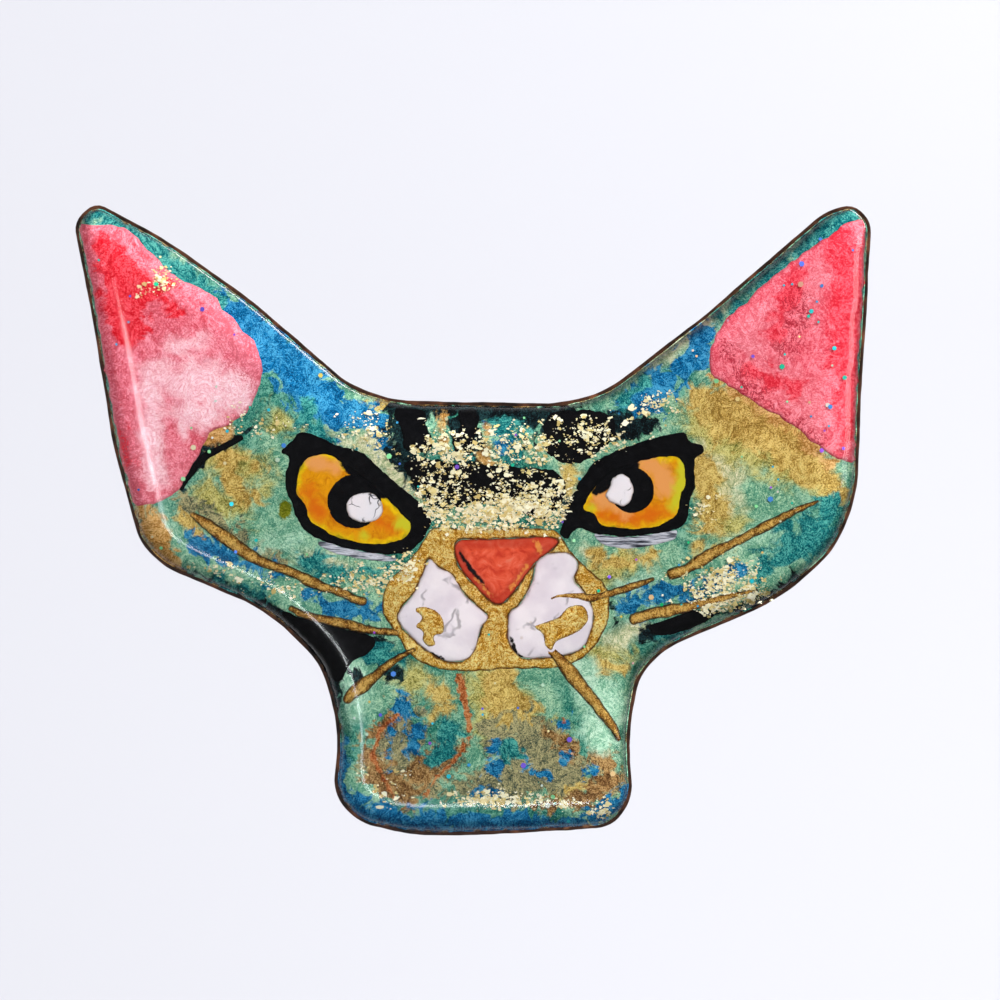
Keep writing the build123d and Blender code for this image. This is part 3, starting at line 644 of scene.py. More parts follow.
# ---- where the washes of colour lie: strokes of (x, z, half width) ----
COAT_WASHES = {
    "blue": [
        [(-16.9, 11.7, 0.6), (-15.1, 9.7, 1.1), (-13.0, 7.6, 1.5), (-10.7, 5.2, 1.8), (-9.6, 3.6, 1.2)],
        [(-9.9, 4.4, 0.8), (-6.8, 3.4, 1.0), (-6.1, 1.6, 0.7)],
        [(16.0, 9.4, 0.5), (15.0, 7.6, 0.9), (13.3, 6.2, 1.1), (11.6, 4.9, 1.2), (10.7, 3.1, 0.7)],
        [(1.9, 3.2, 0.7), (1.9, 1.4, 0.5)],
        [(-19.1, -5.0, 0.6), (-17.8, -5.7, 0.6), (-16.4, -6.3, 0.5)],
        [(-15.6, -6.3, 0.4), (-13.7, -7.2, 0.4)],
        [(-11.6, -8.9, 0.4), (-9.2, -9.6, 0.6), (-6.8, -9.9, 0.6), (-5.6, -9.0, 0.4)],
        [(-10.4, -10.9, 0.4), (-9.6, -12.3, 0.5)],
        [(11.4, -8.9, 0.6), (14.3, -8.5, 0.8), (16.6, -8.0, 0.6), (18.6, -7.0, 0.5)],
        [(10.2, -9.6, 0.4), (12.2, -10.2, 0.4)],
        [(-4.7, -16.2, 0.6), (-3.8, -17.6, 0.6), (-4.3, -19.2, 0.5)],
        [(-5.6, -17.9, 0.35), (-5.8, -20.0, 0.4)],
        [(1.9, -19.0, 0.35), (1.5, -20.6, 0.3)],
        [(3.8, -20.6, 0.3)], [(5.1, -20.9, 0.45)], [(6.5, -20.2, 0.35)], [(8.2, -20.6, 0.35)],
        [(0.5, -22.3, 0.4), (1.5, -21.9, 0.3)], [(6.3, -17.2, 0.35)],
        [(-9.2, -18.9, 0.4), (-9.3, -21.3, 0.6), (-8.7, -23.0, 0.9), (-6.4, -24.3, 1.0), (-2.3, -24.8, 1.0),
         (1.9, -24.8, 0.95), (6.0, -24.7, 0.9), (9.1, -24.0, 0.7), (10.6, -22.5, 0.4)],
    ],
    "sea": [
        [(-26.2, 18.0, 1.1), (-23.6, 16.4, 1.0), (-20.4, 13.8, 1.0), (-17.8, 11.8, 0.7)],
        [(26.0, 18.0, 0.9), (23.0, 15.4, 0.8), (20.0, 12.6, 0.7), (17.6, 10.6, 0.4)],
        [(-8.6, 0.4, 0.6), (-11.5, 3.4, 0.8)],
        [(24.7, -4.1, 0.9), (22.6, -5.4, 1.1), (20.5, -6.6, 0.9)],
        [(21.9, -4.6, 0.7), (24.7, -2.6, 0.7)],
        [(-17.2, -8.0, 0.6), (-14.6, -8.9, 0.5)],
        [(-6.6, -7.0, 0.8), (-9.5, -7.2, 0.5), (-12.2, -6.0, 0.4)],
        [(-8.8, -12.0, 0.6), (-5.0, -13.2, 0.5)],
        [(13.3, -12.0, 0.5), (15.0, -11.2, 0.4)],
        [(1.4, 3.0, 0.6), (3.1, 2.4, 0.6), (3.0, 1.0, 0.4)],
        [(-0.4, 1.6, 0.35)], [(2.6, -2.2, 0.4)], [(-2.6, 0.8, 0.4)],
        [(12.0, 6.0, 0.3), (10.2, 4.6, 0.3)],
        [(-1.7, -18.2, 0.7), (-2.4, -20.0, 0.8)], [(3.0, -19.4, 0.6)],
    ],
    "olive": [
        [(-17.8, 1.0, 0.9), (-15.6, 0.4, 1.1), (-14.2, -1.2, 0.7)], [(-18.6, -1.8, 0.6), (-16.2, -2.6, 0.7)],
        [(15.5, 3.2, 1.3), (18.5, 2.4, 2.0), (21.6, 0.8, 1.7), (24.4, -1.0, 0.8)],
        [(16.2, -1.0, 1.2), (17.4, -4.2, 1.0)], [(7.6, -7.4, 0.8), (10.6, -6.6, 0.8)],
        [(0.4, -14.9, 1.2), (2.0, -17.0, 2.0), (5.0, -19.0, 1.6)], [(-3.6, -14.9, 0.8), (-5.4, -14.6, 0.5)],
        [(-13.4, 3.4, 0.6), (-11.4, 2.6, 0.5)], [(8.4, -12.8, 0.5), (10.6, -12.9, 0.5)],
    ],
    "ochre": [
        [(15.4, 4.8, 1.0), (17.8, 3.9, 1.8), (20.9, 2.1, 1.5), (23.6, 0.0, 1.1), (25.3, -1.6, 0.6)],
        [(15.6, -0.1, 1.0), (16.7, -2.6, 1.0), (15.6, -5.0, 0.7)],
        [(8.8, -6.4, 0.7), (12.2, -6.2, 0.5)],
        [(-17.4, 1.0, 0.6), (-16.1, 0.9, 0.8), (-14.6, 0.4, 0.4)],
        [(-17.1, -0.8, 0.5), (-15.5, -1.8, 0.7)],
        [(1.9, -15.2, 1.5), (2.6, -17.2, 1.8), (4.7, -19.3, 1.4), (6.7, -21.4, 1.2)],
        [(-2.2, -15.4, 0.9), (-2.8, -17.0, 0.5)],
        [(7.0, 0.6, 0.5), (6.5, -1.3, 0.4)],
        [(-6.8, 3.9, 0.5), (-6.4, 4.3, 0.3)],
        [(8.8, -13.4, 0.3), (10.6, -13.7, 0.4)],
        [(-19.2, -4.3, 0.5), (-20.1, -3.0, 0.5)],
    ],
    "tan": [
        [(-22.3, -3.8, 0.9), (-21.6, -5.2, 0.8), (-20.6, -6.3, 0.4)],
        [(-17.2, 2.7, 0.8), (-18.5, 2.2, 0.6)],
        [(-2.2, 3.4, 0.5), (-1.9, 1.6, 0.35)],
        [(1.0, 2.9, 0.5), (0.9, 0.6, 0.45)],
        [(16.6, 6.9, 0.3), (18.0, 5.4, 0.35), (21.9, 3.0, 0.4), (24.8, 0.4, 0.4)],
        [(-23.6, -0.9, 0.2), (-22.8, -3.2, 0.5)],
    ],
    "mottle": [
        [(-4.8, -17.6, 1.2), (-6.2, -20.0, 1.6), (-4.0, -21.4, 1.6), (-2.0, -20.4, 1.2)],
        [(1.6, -18.4, 1.4), (4.4, -18.8, 1.8), (6.4, -20.4, 1.8), (2.6, -21.6, 1.4), (0.4, -21.8, 1.0)],
        [(8.8, -20.2, 0.9), (9.8, -22.0, 0.7)],
        [(-19.8, -2.2, 0.3), (-17.0, -4.2, 0.4), (-13.6, -6.2, 0.4)],
    ],
    "umber": [
        [(-2.6, -19.4, 0.5), (-4.6, -21.9, 0.9), (-6.6, -21.2, 0.9), (-7.2, -19.3, 0.45)],
        [(-5.4, -17.2, 0.35), (-6.8, -18.2, 0.4)],
        [(-1.2, -19.4, 0.3), (-3.4, -21.2, 0.6), (-4.8, -22.9, 0.5)],
        [(8.7, -19.8, 0.6), (9.6, -21.6, 0.8), (8.2, -22.8, 0.5), (4.4, -23.3, 0.3)],
        [(5.2, -18.2, 0.5), (6.8, -19.6, 0.5)],
    ],
    "cream": [
        [(-9.5, 1.9, 0.5), (-7.0, 1.7, 0.7), (-5.2, -0.2, 0.7), (-4.4, -1.5, 0.4)],
        [(16.4, 2.1, 0.7), (17.4, -0.9, 1.2), (17.6, -3.6, 0.9)],
        [(6.4, -0.6, 0.6), (6.9, -2.0, 0.5)],
        [(9.6, -11.8, 0.5), (11.4, -10.9, 0.4), (9.0, -13.2, 0.5)],
        [(16.4, 10.0, 0.5), (15.0, 9.2, 0.5), (13.4, 8.0, 0.5), (12.2, 7.2, 0.3)],
        [(9.2, -7.2, 0.4), (8.0, -5.9, 0.5)],
        [(-11.8, -5.9, 0.5), (-8.8, -6.6, 0.4)],
    ],
    "dusk": [
        [(-5.6, 4.3, 0.3), (-4.0, 3.9, 0.5)], [(3.9, 3.6, 0.5), (3.6, 1.6, 0.4)],
        [(-5.4, 4.2, 0.5), (-2.0, 4.2, 0.7), (2.0, 3.9, 0.9), (6.0, 3.4, 1.3), (9.4, 2.8, 1.1),
         (12.2, 3.2, 0.5)],
        [(-5.2, 3.0, 0.8), (-4.7, 1.0, 0.9), (-3.9, -0.6, 1.0), (-2.6, -1.6, 1.0)],
        [(-0.6, 3.2, 0.8), (-0.2, 0.6, 0.9), (1.4, -1.0, 1.0), (4.2, -1.2, 1.0), (5.8, -2.4, 0.8)],
        [(-20.6, -6.9, 0.4), (-18.6, -8.1, 0.6), (-16.0, -9.0, 0.8), (-13.6, -10.2, 0.9),
         (-12.0, -11.6, 0.9), (-10.6, -13.6, 0.9), (-9.7, -15.9, 0.7), (-9.5, -17.6, 0.3)],
        [(-20.2, -1.2, 0.2), (-18.9, 0.8, 0.5), (-17.6, 2.0, 0.4), (-15.6, 2.6, 0.15)],
        [(-9.2, -11.2, 0.5), (-6.7, -12.2, 0.8), (-5.7, -14.0, 0.5)],
        [(-7.7, -14.2, 0.35)],
        [(16.6, -9.9, 0.3), (19.0, -9.4, 0.5), (21.3, -8.5, 0.5), (23.4, -7.3, 0.35)],
        [(11.6, -11.7, 0.3), (13.6, -11.3, 0.4)],
        [(9.6, -9.3, 0.2), (9.9, -10.0, 0.3)],
    ],
    "mint": [
        [(-9.0, -13.2, 0.9), (-8.0, -15.2, 1.0), (-8.4, -17.0, 0.7)],
        # the first stroke below, on the right of the chin, is partly mint paint and partly a painted
        # reflection: the pale band a window mirrors in the resin there
        [(7.6, -14.2, 1.2), (9.2, -16.6, 1.5), (8.6, -18.4, 1.1)], [(10.6, -8.2, 0.7), (12.6, -7.6, 0.5)],
        [(-14.6, -5.2, 0.5), (-12.2, -4.6, 0.6)], [(18.0, -5.2, 0.7), (20.4, -4.4, 0.6)],
    ],
    "moss": [[(-13.0, -2.5, 0.42), (-13.0, -2.9, 0.45)]],
    "rust": [
        [(-0.9, -14.4, 0.30), (-0.5, -16.4, 0.22), (-0.2, -18.3, 0.14), (-0.9, -19.8, 0.10),
         (-2.6, -21.4, 0.12), (-3.6, -22.9, 0.10)],
        [(-5.3, -17.0, 0.12), (-6.4, -18.0, 0.12), (-7.0, -19.8, 0.10), (-5.4, -22.8, 0.10)],
        [(6.3, -17.3, 0.16)],
    ],
}
LEFT_EAR_WASHES = {
    "deep": [
        [(-25.4, 15.6, 0.7), (-24.6, 13.6, 1.4), (-24.3, 11.6, 1.5), (-23.7, 9.6, 1.2), (-23.9, 8.4, 0.5)],
        [(-23.2, 13.4, 0.9), (-21.6, 12.2, 0.8), (-20.6, 11.2, 0.4)],
        [(-24.9, 4.4, 0.2), (-23.9, 0.6, 0.3)],
    ],
    "pale": [
        [(-22.0, 6.4, 0.9), (-19.6, 6.0, 1.7), (-17.2, 5.4, 1.6), (-15.9, 5.2, 0.8)],
        [(-22.2, 5.4, 1.0), (-22.2, 2.4, 0.8), (-21.9, -0.6, 0.5)],
        [(-19.6, 3.9, 1.3), (-17.8, 4.0, 0.8)], [(-20.6, 8.6, 0.5), (-19.2, 8.9, 0.4)],
    ],
    "strands": [
        [(-17.6, 11.4, 0.9), (-16.2, 9.0, 1.2), (-15.4, 6.8, 0.8)],
        [(-25.6, 7.0, 0.5), (-24.7, 3.6, 0.9), (-24.0, 0.0, 0.9), (-23.0, -1.8, 0.6)],
        [(-20.6, 1.2, 0.8), (-19.6, 0.0, 0.8)], [(-26.6, 16.0, 0.3), (-26.2, 13.0, 0.3)],
    ],
}
RIGHT_EAR_WASHES = {
    "deep": [
        [(25.7, 15.9, 1.1), (26.0, 11.7, 1.2), (26.0, 6.2, 1.1), (26.3, 2.8, 0.8)],
        [(22.6, 13.6, 0.5), (21.0, 9.6, 0.5)], [(19.2, 7.0, 0.4), (22.6, 5.2, 0.4)],
    ],
    "pale": [
        [(20.5, 11.7, 0.8), (18.8, 9.0, 1.0), (21.9, 6.2, 1.2), (24.0, 3.4, 0.8)],
        [(24.0, 14.0, 0.4), (23.0, 10.0, 0.6)],
    ],
    "strands": [
        [(17.6, 8.4, 0.6), (20.0, 5.0, 0.6), (24.0, 1.8, 0.6)], [(22.8, 12.0, 0.6), (21.4, 8.0, 0.6)],
    ],
}
# On the nose: crease_shade is a line of painted shade along a crease, and glint marks painted highlights.
NOSE_MARKS = {
    "crease_shade": [[(-0.9, -5.7, 0.07), (-0.2, -6.8, 0.17), (0.6, -7.7, 0.10), (1.1, -8.3, 0.03)]],
    "glint": [[(4.3, -4.9, 0.08), (4.7, -5.8, 0.10)], [(3.8, -6.6, 0.10), (2.6, -8.2, 0.12)],
              [(0.2, -7.6, 0.1), (1.3, -8.9, 0.1)]],
}
PAD_MARKS = {"slit": [[(-3.6, -12.2, 0.05), (-2.9, -12.8, 0.16), (-2.0, -13.1, 0.05)],
                      [(2.6, -11.6, 0.05), (2.9, -12.5, 0.17), (3.6, -13.2, 0.06)]]}
LEFT_IRIS_MARKS = {"shade": [[(-8.7, 0.4, 0.45), (-7.5, -0.4, 0.6), (-6.2, -1.6, 0.35)]],
                   "red": [[(-11.4, -1.6, 0.5), (-10.6, -3.0, 0.4)], [(-6.4, -3.6, 0.5), (-5.6, -3.9, 0.4)]],
                   "pale": [[(-11.0, 0.6, 0.4), (-9.6, 0.2, 0.4)]],
                   "lime": [[(-4.9, -3.7, 0.5), (-4.3, -4.1, 0.3)], [(-7.6, -4.6, 0.2)]]}
RIGHT_IRIS_MARKS = {"shade": [[(8.5, -1.5, 0.25), (9.5, -0.6, 0.7), (10.8, 0.4, 0.7)]],
                    "red": [[(9.0, -3.2, 0.5), (11.4, -3.4, 0.5), (13.2, -2.9, 0.4)]],
                    "pale": [[(11.4, 0.9, 0.5), (12.9, 0.0, 0.7), (13.3, -1.2, 0.7)],
                             [(8.8, -1.8, 0.5), (10.6, -2.9, 0.4)]],
                    "lime": [[(14.6, 0.4, 0.4), (14.4, -1.6, 0.5), (13.8, -2.6, 0.3)],
                             [(8.2, -2.6, 0.2)]]}


# ---- pieces ----
def finish_piece(piece, material, *nodes, slot=None):
    """Give a piece its material and its body, and hide the CAD nodes that it stands for."""
    piece.data.materials.append(material)
    if nodes:
        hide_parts(*nodes)
    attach(piece, BODY)
    return piece


def make_plate():
    """Copper plate with filed, slightly uneven edges, closed front and back."""
    edge = wobble(outline("copper_plate", 0.35), 0.05, 0.5, 3.0)
    inset = (0.10, 0.03, 0.0, 0.0, 0.03, 0.10)
    steps = (0.0, 0.04, 0.12)
    depths = [PLATE_BACK + step for step in steps] + [PLATE_FRONT - step for step in reversed(steps)]
    rings = [draw_in(edge, step) for step in inset]
    count = len(edge)
    coords = []
    for ring, depth in zip(rings, depths):
        coords += [(x, -depth, z) for x, z in ring]
    faces = []
    clockwise = turning(edge) < 0
    for level in range(len(rings) - 1):
        for i in range(count):
            a, b = level * count + i, level * count + (i + 1) % count
            quad = (a, b, b + count, a + count)
            faces.append(quad if not clockwise else quad[::-1])
    for level in (0, len(rings) - 1):
        points, triangles = fill([rings[level]], 1.2)
        places = {spot(x, z): level * count + i for i, (x, z) in enumerate(rings[level])}
        index = []
        for x, z in points:
            if spot(x, z) not in places:
                places[spot(x, z)] = len(coords)
                coords.append((x, -depths[level], z))
            index.append(places[spot(x, z)])
        for a, b, c in triangles:
            face = (index[a], index[b], index[c])
            faces.append(face[::-1] if level == 0 else face)
    wall = np.zeros(len(coords))
    wall[count:count * 6] = 1                      # the edge and the narrow rim in front of it
    smooth = [len(f) == 4 for f in faces]
    piece = mesh_object("filed_copper_plate", coords, faces, smooth, {"wall": wall})
    return finish_piece(piece, copper(), "copper_plate")


def make_coat():
    loops = [wobble(outline("ground_coat", 0.25), 0.05, 0.9, 5.0)]

    def height(points, gap):
        thick = COAT_FRONT - PLATE_FRONT
        rise = np.clip(gap / 0.35, 0, 1)
        return 0.04 + (thick - 0.04) * rise + 0.012 * noise_at(points, 0.8, 2.0) * rise
    coat = solid("marbled_base_coat", loops, PLATE_FRONT, height, 0.24, fields=COAT_WASHES)
    return finish_piece(coat, green_coat(), "ground_coat")


def puddle(loops, reach):
    """Rise of a liquid pool pinned at the loops, from 0 at the edge to 1 inside, on a grid."""
    cell = POOL_CELL
    everything = np.vstack(loops)
    lo = everything.min(axis=0) - 2 * cell
    hi = everything.max(axis=0) + 2 * cell
    columns = np.arange(lo[0], hi[0], cell)
    rows = np.arange(lo[1], hi[1], cell)
    grid = np.stack(np.meshgrid(columns, rows), axis=-1)
    wet = inside(grid.reshape(-1, 2), loops).reshape(grid.shape[:2])
    pool = wet.astype(float)
    pull = (cell / reach) ** 2
    for _ in range(POOL_ROUNDS):
        around = np.roll(pool, 1, 0) + np.roll(pool, -1, 0) + np.roll(pool, 1, 1) + np.roll(pool, -1, 1)
        pool = np.where(wet, (around + pull) / (4 + pull), 0)
    return lo, cell, pool


def sample(pool, points):
    lo, cell, values = pool
    place = (points - lo) / cell
    corner = np.floor(place).astype(int)
    part = place - corner
    total = 0
    for dx, dz in ((0, 0), (1, 0), (0, 1), (1, 1)):
        weight = (part[:, 0] if dx else 1 - part[:, 0]) * (part[:, 1] if dz else 1 - part[:, 1])
        total = total + weight * values[corner[:, 1] + dz, corner[:, 0] + dx]
    return total


def make_dome():
    """Poured resin: a meniscus that climbs steeply at the rim and is almost flat inside."""
    sunk = 0.06
    crown_height = 0.40
    wall_height = RESIN_HIGH - crown_height - 0.10
    loops = [resample(outline("ground_coat", 0.25, 0.04), 0.22)]
    steep = puddle(loops, 0.95)
    broad = puddle(loops, 3.6)

    def height(points, gap):
        free = np.clip(gap / 0.02, 0, 1)
        meniscus = 1 - (1 - sample(steep, points) * free) ** 1.7
        crown = sample(broad, points) * free
        ripple = 0.012 * noise_at(points, 0.09, 8.0) * free
        return sunk + 0.01 + wall_height * meniscus + crown_height * crown + ripple
    dome = solid("poured_resin", loops, COAT_FRONT - sunk, height, 0.45, 0.2, 2.4)
    return finish_piece(dome, resin(), "resin_dome")


def make_dab(name, node, material, seed, high, reach, step, rough, per_mm, wander, grow=0.0, fields=None):
    """A raised patch of paint over a CAD node's own outline, widened by grow.

    It reaches its full height, high, at reach from its edge. Its top is uneven by rough, in bumps of
    per_mm to the millimetre, and its edge wanders by wander.
    """
    loops = [wobble(draw_in(resample(loop, step), -grow), wander, 1.4, seed) for loop in front_loops(node)]
    sunk = 0.05
    profile = crowned(high + sunk, reach, rough, per_mm, seed, lip=sunk + 0.015)
    piece = solid(name, loops, COAT_FRONT - sunk, profile, step, fields=fields)
    return finish_piece(piece, material, node)


def make_nose(material):
    """Nose with a flat raised middle and bevelled sides."""
    loops = [wobble(outline("nose", 0.12), 0.04, 1.4, 4.0)]
    sunk = 0.05

    def height(points, gap):
        shelf = 0.20 * np.clip(gap / 0.18, 0, 1)
        slope = 0.26 * np.clip((gap - 0.30) / 0.55, 0, 1) ** 0.8
        return sunk + 0.02 + shelf + slope + 0.03 * noise_at(points, 1.3, 6.0)
    piece = solid("brick_red_nose", loops, COAT_FRONT - sunk, height, 0.11, fields=NOSE_MARKS)
    return finish_piece(piece, material, "nose")


def bare_outlines():
    """Outer loops of the raised places that carry no flakes or glitter."""
    raised = ("left_eye_outline", "right_eye_outline", "left_muzzle_pad", "right_muzzle_pad", "nose")
    return [[max(front_loops(node), key=lambda loop: np.ptp(loop[:, 0]))] for node in raised]


def make_flakes():
    """Gold leaf: crumpled scraps in clusters, lying at several levels just above the paint."""
    clusters = (                                   # x, z, spread x, spread z, how many
        (1.5, -2.9, 4.2, 0.9, 420), (3.4, -1.6, 2.6, 1.3, 150), (-2.4, -1.2, 2.6, 1.6, 120),
        (-1.6, 1.2, 2.6, 1.4, 150), (3.6, 1.6, 3.4, 1.7, 150), (8.6, 2.4, 2.4, 1.4, 90),
        (-7.4, 2.6, 2.4, 1.5, 60), (5.9, -2.4, 1.6, 1.3, 110), (-3.2, -3.0, 1.4, 0.7, 60),
        (17.6, -7.6, 2.6, 1.1, 190), (19.6, -9.0, 2.4, 0.9, 150), (16.6, -9.2, 1.6, 0.8, 70),
        (-4.6, -6.8, 0.9, 1.0, 60), (-7.6, -7.6, 2.2, 1.1, 60), (-13.0, -8.2, 2.6, 0.8, 30),
        (-21.6, 12.8, 1.4, 0.8, 44), (1.2, -22.8, 2.6, 0.5, 110), (5.6, -23.0, 2.4, 0.4, 40),
        (-6.0, -21.5, 2.6, 1.4, 26), (-14.6, 3.0, 2.8, 1.2, 24), (9.2, -23.6, 1.4, 0.5, 30),
        (15.9, -2.6, 1.2, 1.6, 26), (12.8, 4.6, 1.8, 1.0, 40), (-18.0, -7.0, 3.0, 0.6, 24),
        (0.5, -4.0, 3.6, 0.3, 60),
    )
    bare = bare_outlines()
    coat_loops = [outline("ground_coat", 0.4, 0.35)]
    verts, faces, tones = [], [], []
    for x0, z0, spread_x, spread_z, count in clusters:
        xs = RNG.normal(x0, spread_x * 0.55, count)
        zs = RNG.normal(z0, spread_z * 0.55, count)
        centres = np.stack([xs, zs], axis=1)
        free = inside(centres, coat_loops)
        for loops in bare:
            free &= ~inside(centres, loops)
        scraps = []
        for centre in centres[free]:
            scraps += [centre] + list(RNG.normal(centre, 0.17, (RNG.poisson(2.8), 2)))
        for x, z in scraps:
            size = min(0.28, 0.032 + RNG.exponential(0.050))
            level = COAT_FRONT + RNG.uniform(0.10, 0.26)
            tilt_x, tilt_z = RNG.normal(0, 0.30, 2)
            sides = int(RNG.integers(6, 10))
            turn = RNG.uniform(0, math.tau)
            stretch = RNG.uniform(0.45, 1.0)
            first = len(verts)
            rim = []
            for k in range(sides):
                angle = turn + math.tau * k / sides
                radius = size * RNG.uniform(0.35, 1.30)
                dx = radius * math.cos(angle)
                dz = radius * math.sin(angle) * stretch
                rim.append((dx, tilt_x * dx + tilt_z * dz + RNG.normal(0, 0.012), dz))
            for lift in (0.0, 0.012):
                verts.append((x, -(level + lift + RNG.uniform(0, 0.02)), z))
                verts += [(x + dx, -(level + lift + dy), z + dz) for dx, dy, dz in rim]
            half = sides + 1
            for k in range(sides):
                a, b = first + 1 + k, first + 1 + (k + 1) % sides
                faces.append((first, b, a))
                faces.append((first + half, a + half, b + half))
                faces.append((a, b, b + half, a + half))
            tones += [RNG.uniform(0.1, 1.0)] * (2 * half)
    piece = mesh_object("gold_leaf_flakes", verts, faces, fields={"tone": tones})
    return finish_piece(piece, gold_leaf(), slot="gold_paint")


def make_glitter():
    """Holographic glitter: small hexagons strewn over the face, a few in each colour."""
    bare = bare_outlines()
    face = [outline("ground_coat", 0.4, 0.4)]
    centres = RNG.uniform((-27, -25), (27, 18), (520, 2))
    free = inside(centres, face)
    for loops in bare:
        free &= ~inside(centres, loops)
    extra = RNG.normal((23.0, 7.0), (1.8, 3.4), (16, 2))
    extra = extra[inside(extra, face)]
    verts, faces, tones = [], [], []
    for x, z in np.vstack([centres[free][:120], extra]):
        radius = RNG.choice((0.09, 0.13, 0.17, 0.20), p=(0.5, 0.25, 0.15, 0.10))
        level = COAT_FRONT + RNG.uniform(0.20, 0.35)
        tilt_x, tilt_z = RNG.normal(0, 0.25, 2)
        turn = RNG.uniform(0, math.tau)
        first = len(verts)
        for lift in (0.0, 0.02):
            for k in range(6):
                dx = radius * math.cos(turn + math.tau * k / 6)
                dz = radius * math.sin(turn + math.tau * k / 6)
                verts.append((x + dx, -(level + lift + tilt_x * dx + tilt_z * dz), z + dz))
        faces.append(tuple(first + k for k in (5, 4, 3, 2, 1, 0)))
        faces.append(tuple(first + 6 + k for k in range(6)))
        for k in range(6):
            a, b = first + k, first + (k + 1) % 6
            faces.append((a, b, b + 6, a + 6))
        tones += [RNG.uniform(0, 1)] * 12
    piece = mesh_object("holographic_glitter", verts, faces, fields={"tone": tones})
    return finish_piece(piece, glitter(), slot="resin")


def make_face():
    """All the paint that lies on the base coat."""
    black = black_paint()
    # the last colour of each metal paint is its darker lip, partly painted shade; crest is a painted
    # highlight along the whiskers' ridges
    gold = metal_paint("gold_paint", ((162, 98, 12), (238, 180, 62), (255, 240, 160)), (96, 46, 12))
    bronze = metal_paint("bronze_paint", ((84, 46, 10), (178, 112, 36), (248, 204, 112)), (44, 24, 8),
                         crest=(246, 198, 104))
    # the fourth value sets how strongly the creases are darkened as painted shade
    white = pearl_white("pearl_pads", (214, 206, 218), 0.30, 0.5, slit=True)
    dab_white = pearl_white("white_dabs", (224, 222, 232), 0.75, 0.95)

    left_pink = ear_pink("left_ear_pink", ((200, 84, 98), (230, 118, 138), (246, 160, 176)),
                         ((200, 18, 34), (232, 44, 60), (246, 98, 112)),
                         ((238, 184, 198), (252, 212, 223), (255, 230, 238)), (206, 98, 112))
    right_pink = ear_pink("right_ear_pink", ((212, 72, 90), (232, 104, 122), (248, 148, 164)),
                          ((206, 36, 54), (230, 66, 84), (248, 112, 128)),
                          ((222, 104, 120), (238, 132, 148), (250, 168, 182)), (168, 46, 62))
    ear = dict(high=0.05, reach=0.30, step=0.30, rough=0.01, per_mm=0.8, wander=0.18, grow=0.12)
    bar = dict(high=0.04, reach=0.15, step=0.16, rough=0.01, per_mm=1.5, wander=0.22)
    stroke = {**bar, "wander": 0.08}
    make_dab("left_ear_pink", "left_ear_enamel", left_pink, 1.0, **ear, fields=LEFT_EAR_WASHES)
    make_dab("right_ear_pink", "right_ear_enamel", right_pink, 2.0, **ear, fields=RIGHT_EAR_WASHES)
    make_dab("forehead_bars", "forehead_stripes", black, 3.0, **bar)
    make_dab("left_jaw_stroke", "left_jaw_shadow", black, 4.0, **stroke)
    make_dab("right_jaw_stroke", "right_jaw_shadow", black, 5.0, **stroke)
    make_dab("left_brow_mark", "left_brow_stroke", black, 6.0, **{**stroke, "step": 0.14})

    grey = lid_grey()
    line = dict(high=0.14, reach=0.22, step=0.10, rough=0.03, per_mm=1.6, wander=0.10)
    glaze = dict(high=0.05, reach=0.20, step=0.12, rough=0.02, per_mm=1.2, wander=0.0, grow=0.12)
    pupil = dict(high=0.11, reach=0.15, step=0.10, rough=0.02, per_mm=1.6, wander=0.05)
    catchlight = dict(high=0.30, reach=0.30, step=0.07, rough=0.06, per_mm=1.5, wander=0.06)
    lid = dict(high=0.04, reach=0.12, step=0.10, rough=0.02, per_mm=2.0, wander=0.05)
    for side, marks, turn in (("left", LEFT_IRIS_MARKS, 0.4), ("right", RIGHT_IRIS_MARKS, 1.9)):
        iris = iris_paint(side + "_iris_paint", turn)
        make_dab(side + "_eye_line", side + "_eye_outline", black, 7.0, **line)
        make_dab(side + "_iris_glaze", side + "_iris", iris, 8.0, **glaze, fields=marks)
        make_dab(side + "_pupil_dab", side + "_pupil", black, 9.0, **pupil)
        make_dab(side + "_catchlight_dab", side + "_catchlight", dab_white, 10.0, **catchlight)
        make_dab(side + "_lid_strokes", side + "_lid_line", grey, 11.0, **lid)

    muzzle = dict(high=0.13, reach=0.25, step=0.14, rough=0.05, per_mm=1.1, wander=0.09)
    pad = dict(high=0.20, reach=0.55, step=0.14, rough=0.03, per_mm=0.7, wander=0.06, fields=PAD_MARKS)
    scroll = dict(high=0.38, reach=0.30, step=0.08, rough=0.08, per_mm=1.6, wander=0.05)
    whisker = dict(high=0.36, reach=0.40, step=0.08, rough=0.08, per_mm=1.4, wander=0.07, grow=-0.05)
    make_dab("gold_muzzle", "muzzle_gold", gold, 12.0, **muzzle)
    make_dab("left_pad_pearl", "left_muzzle_pad", white, 13.0, **pad)
    make_dab("right_pad_pearl", "right_muzzle_pad", white, 14.0, **pad)
    make_nose(nose_red())
    make_dab("left_gold_scroll", "left_muzzle_scroll", gold, 15.0, **scroll)
    make_dab("right_gold_scroll", "right_muzzle_scroll", gold, 16.0, **scroll)
    for i, node in enumerate(sorted(n for n in NODES if n.startswith("whisker"))):
        make_dab(node.replace("whisker", "bronze_whisker"), node, bronze, 17.0 + i, **whisker)


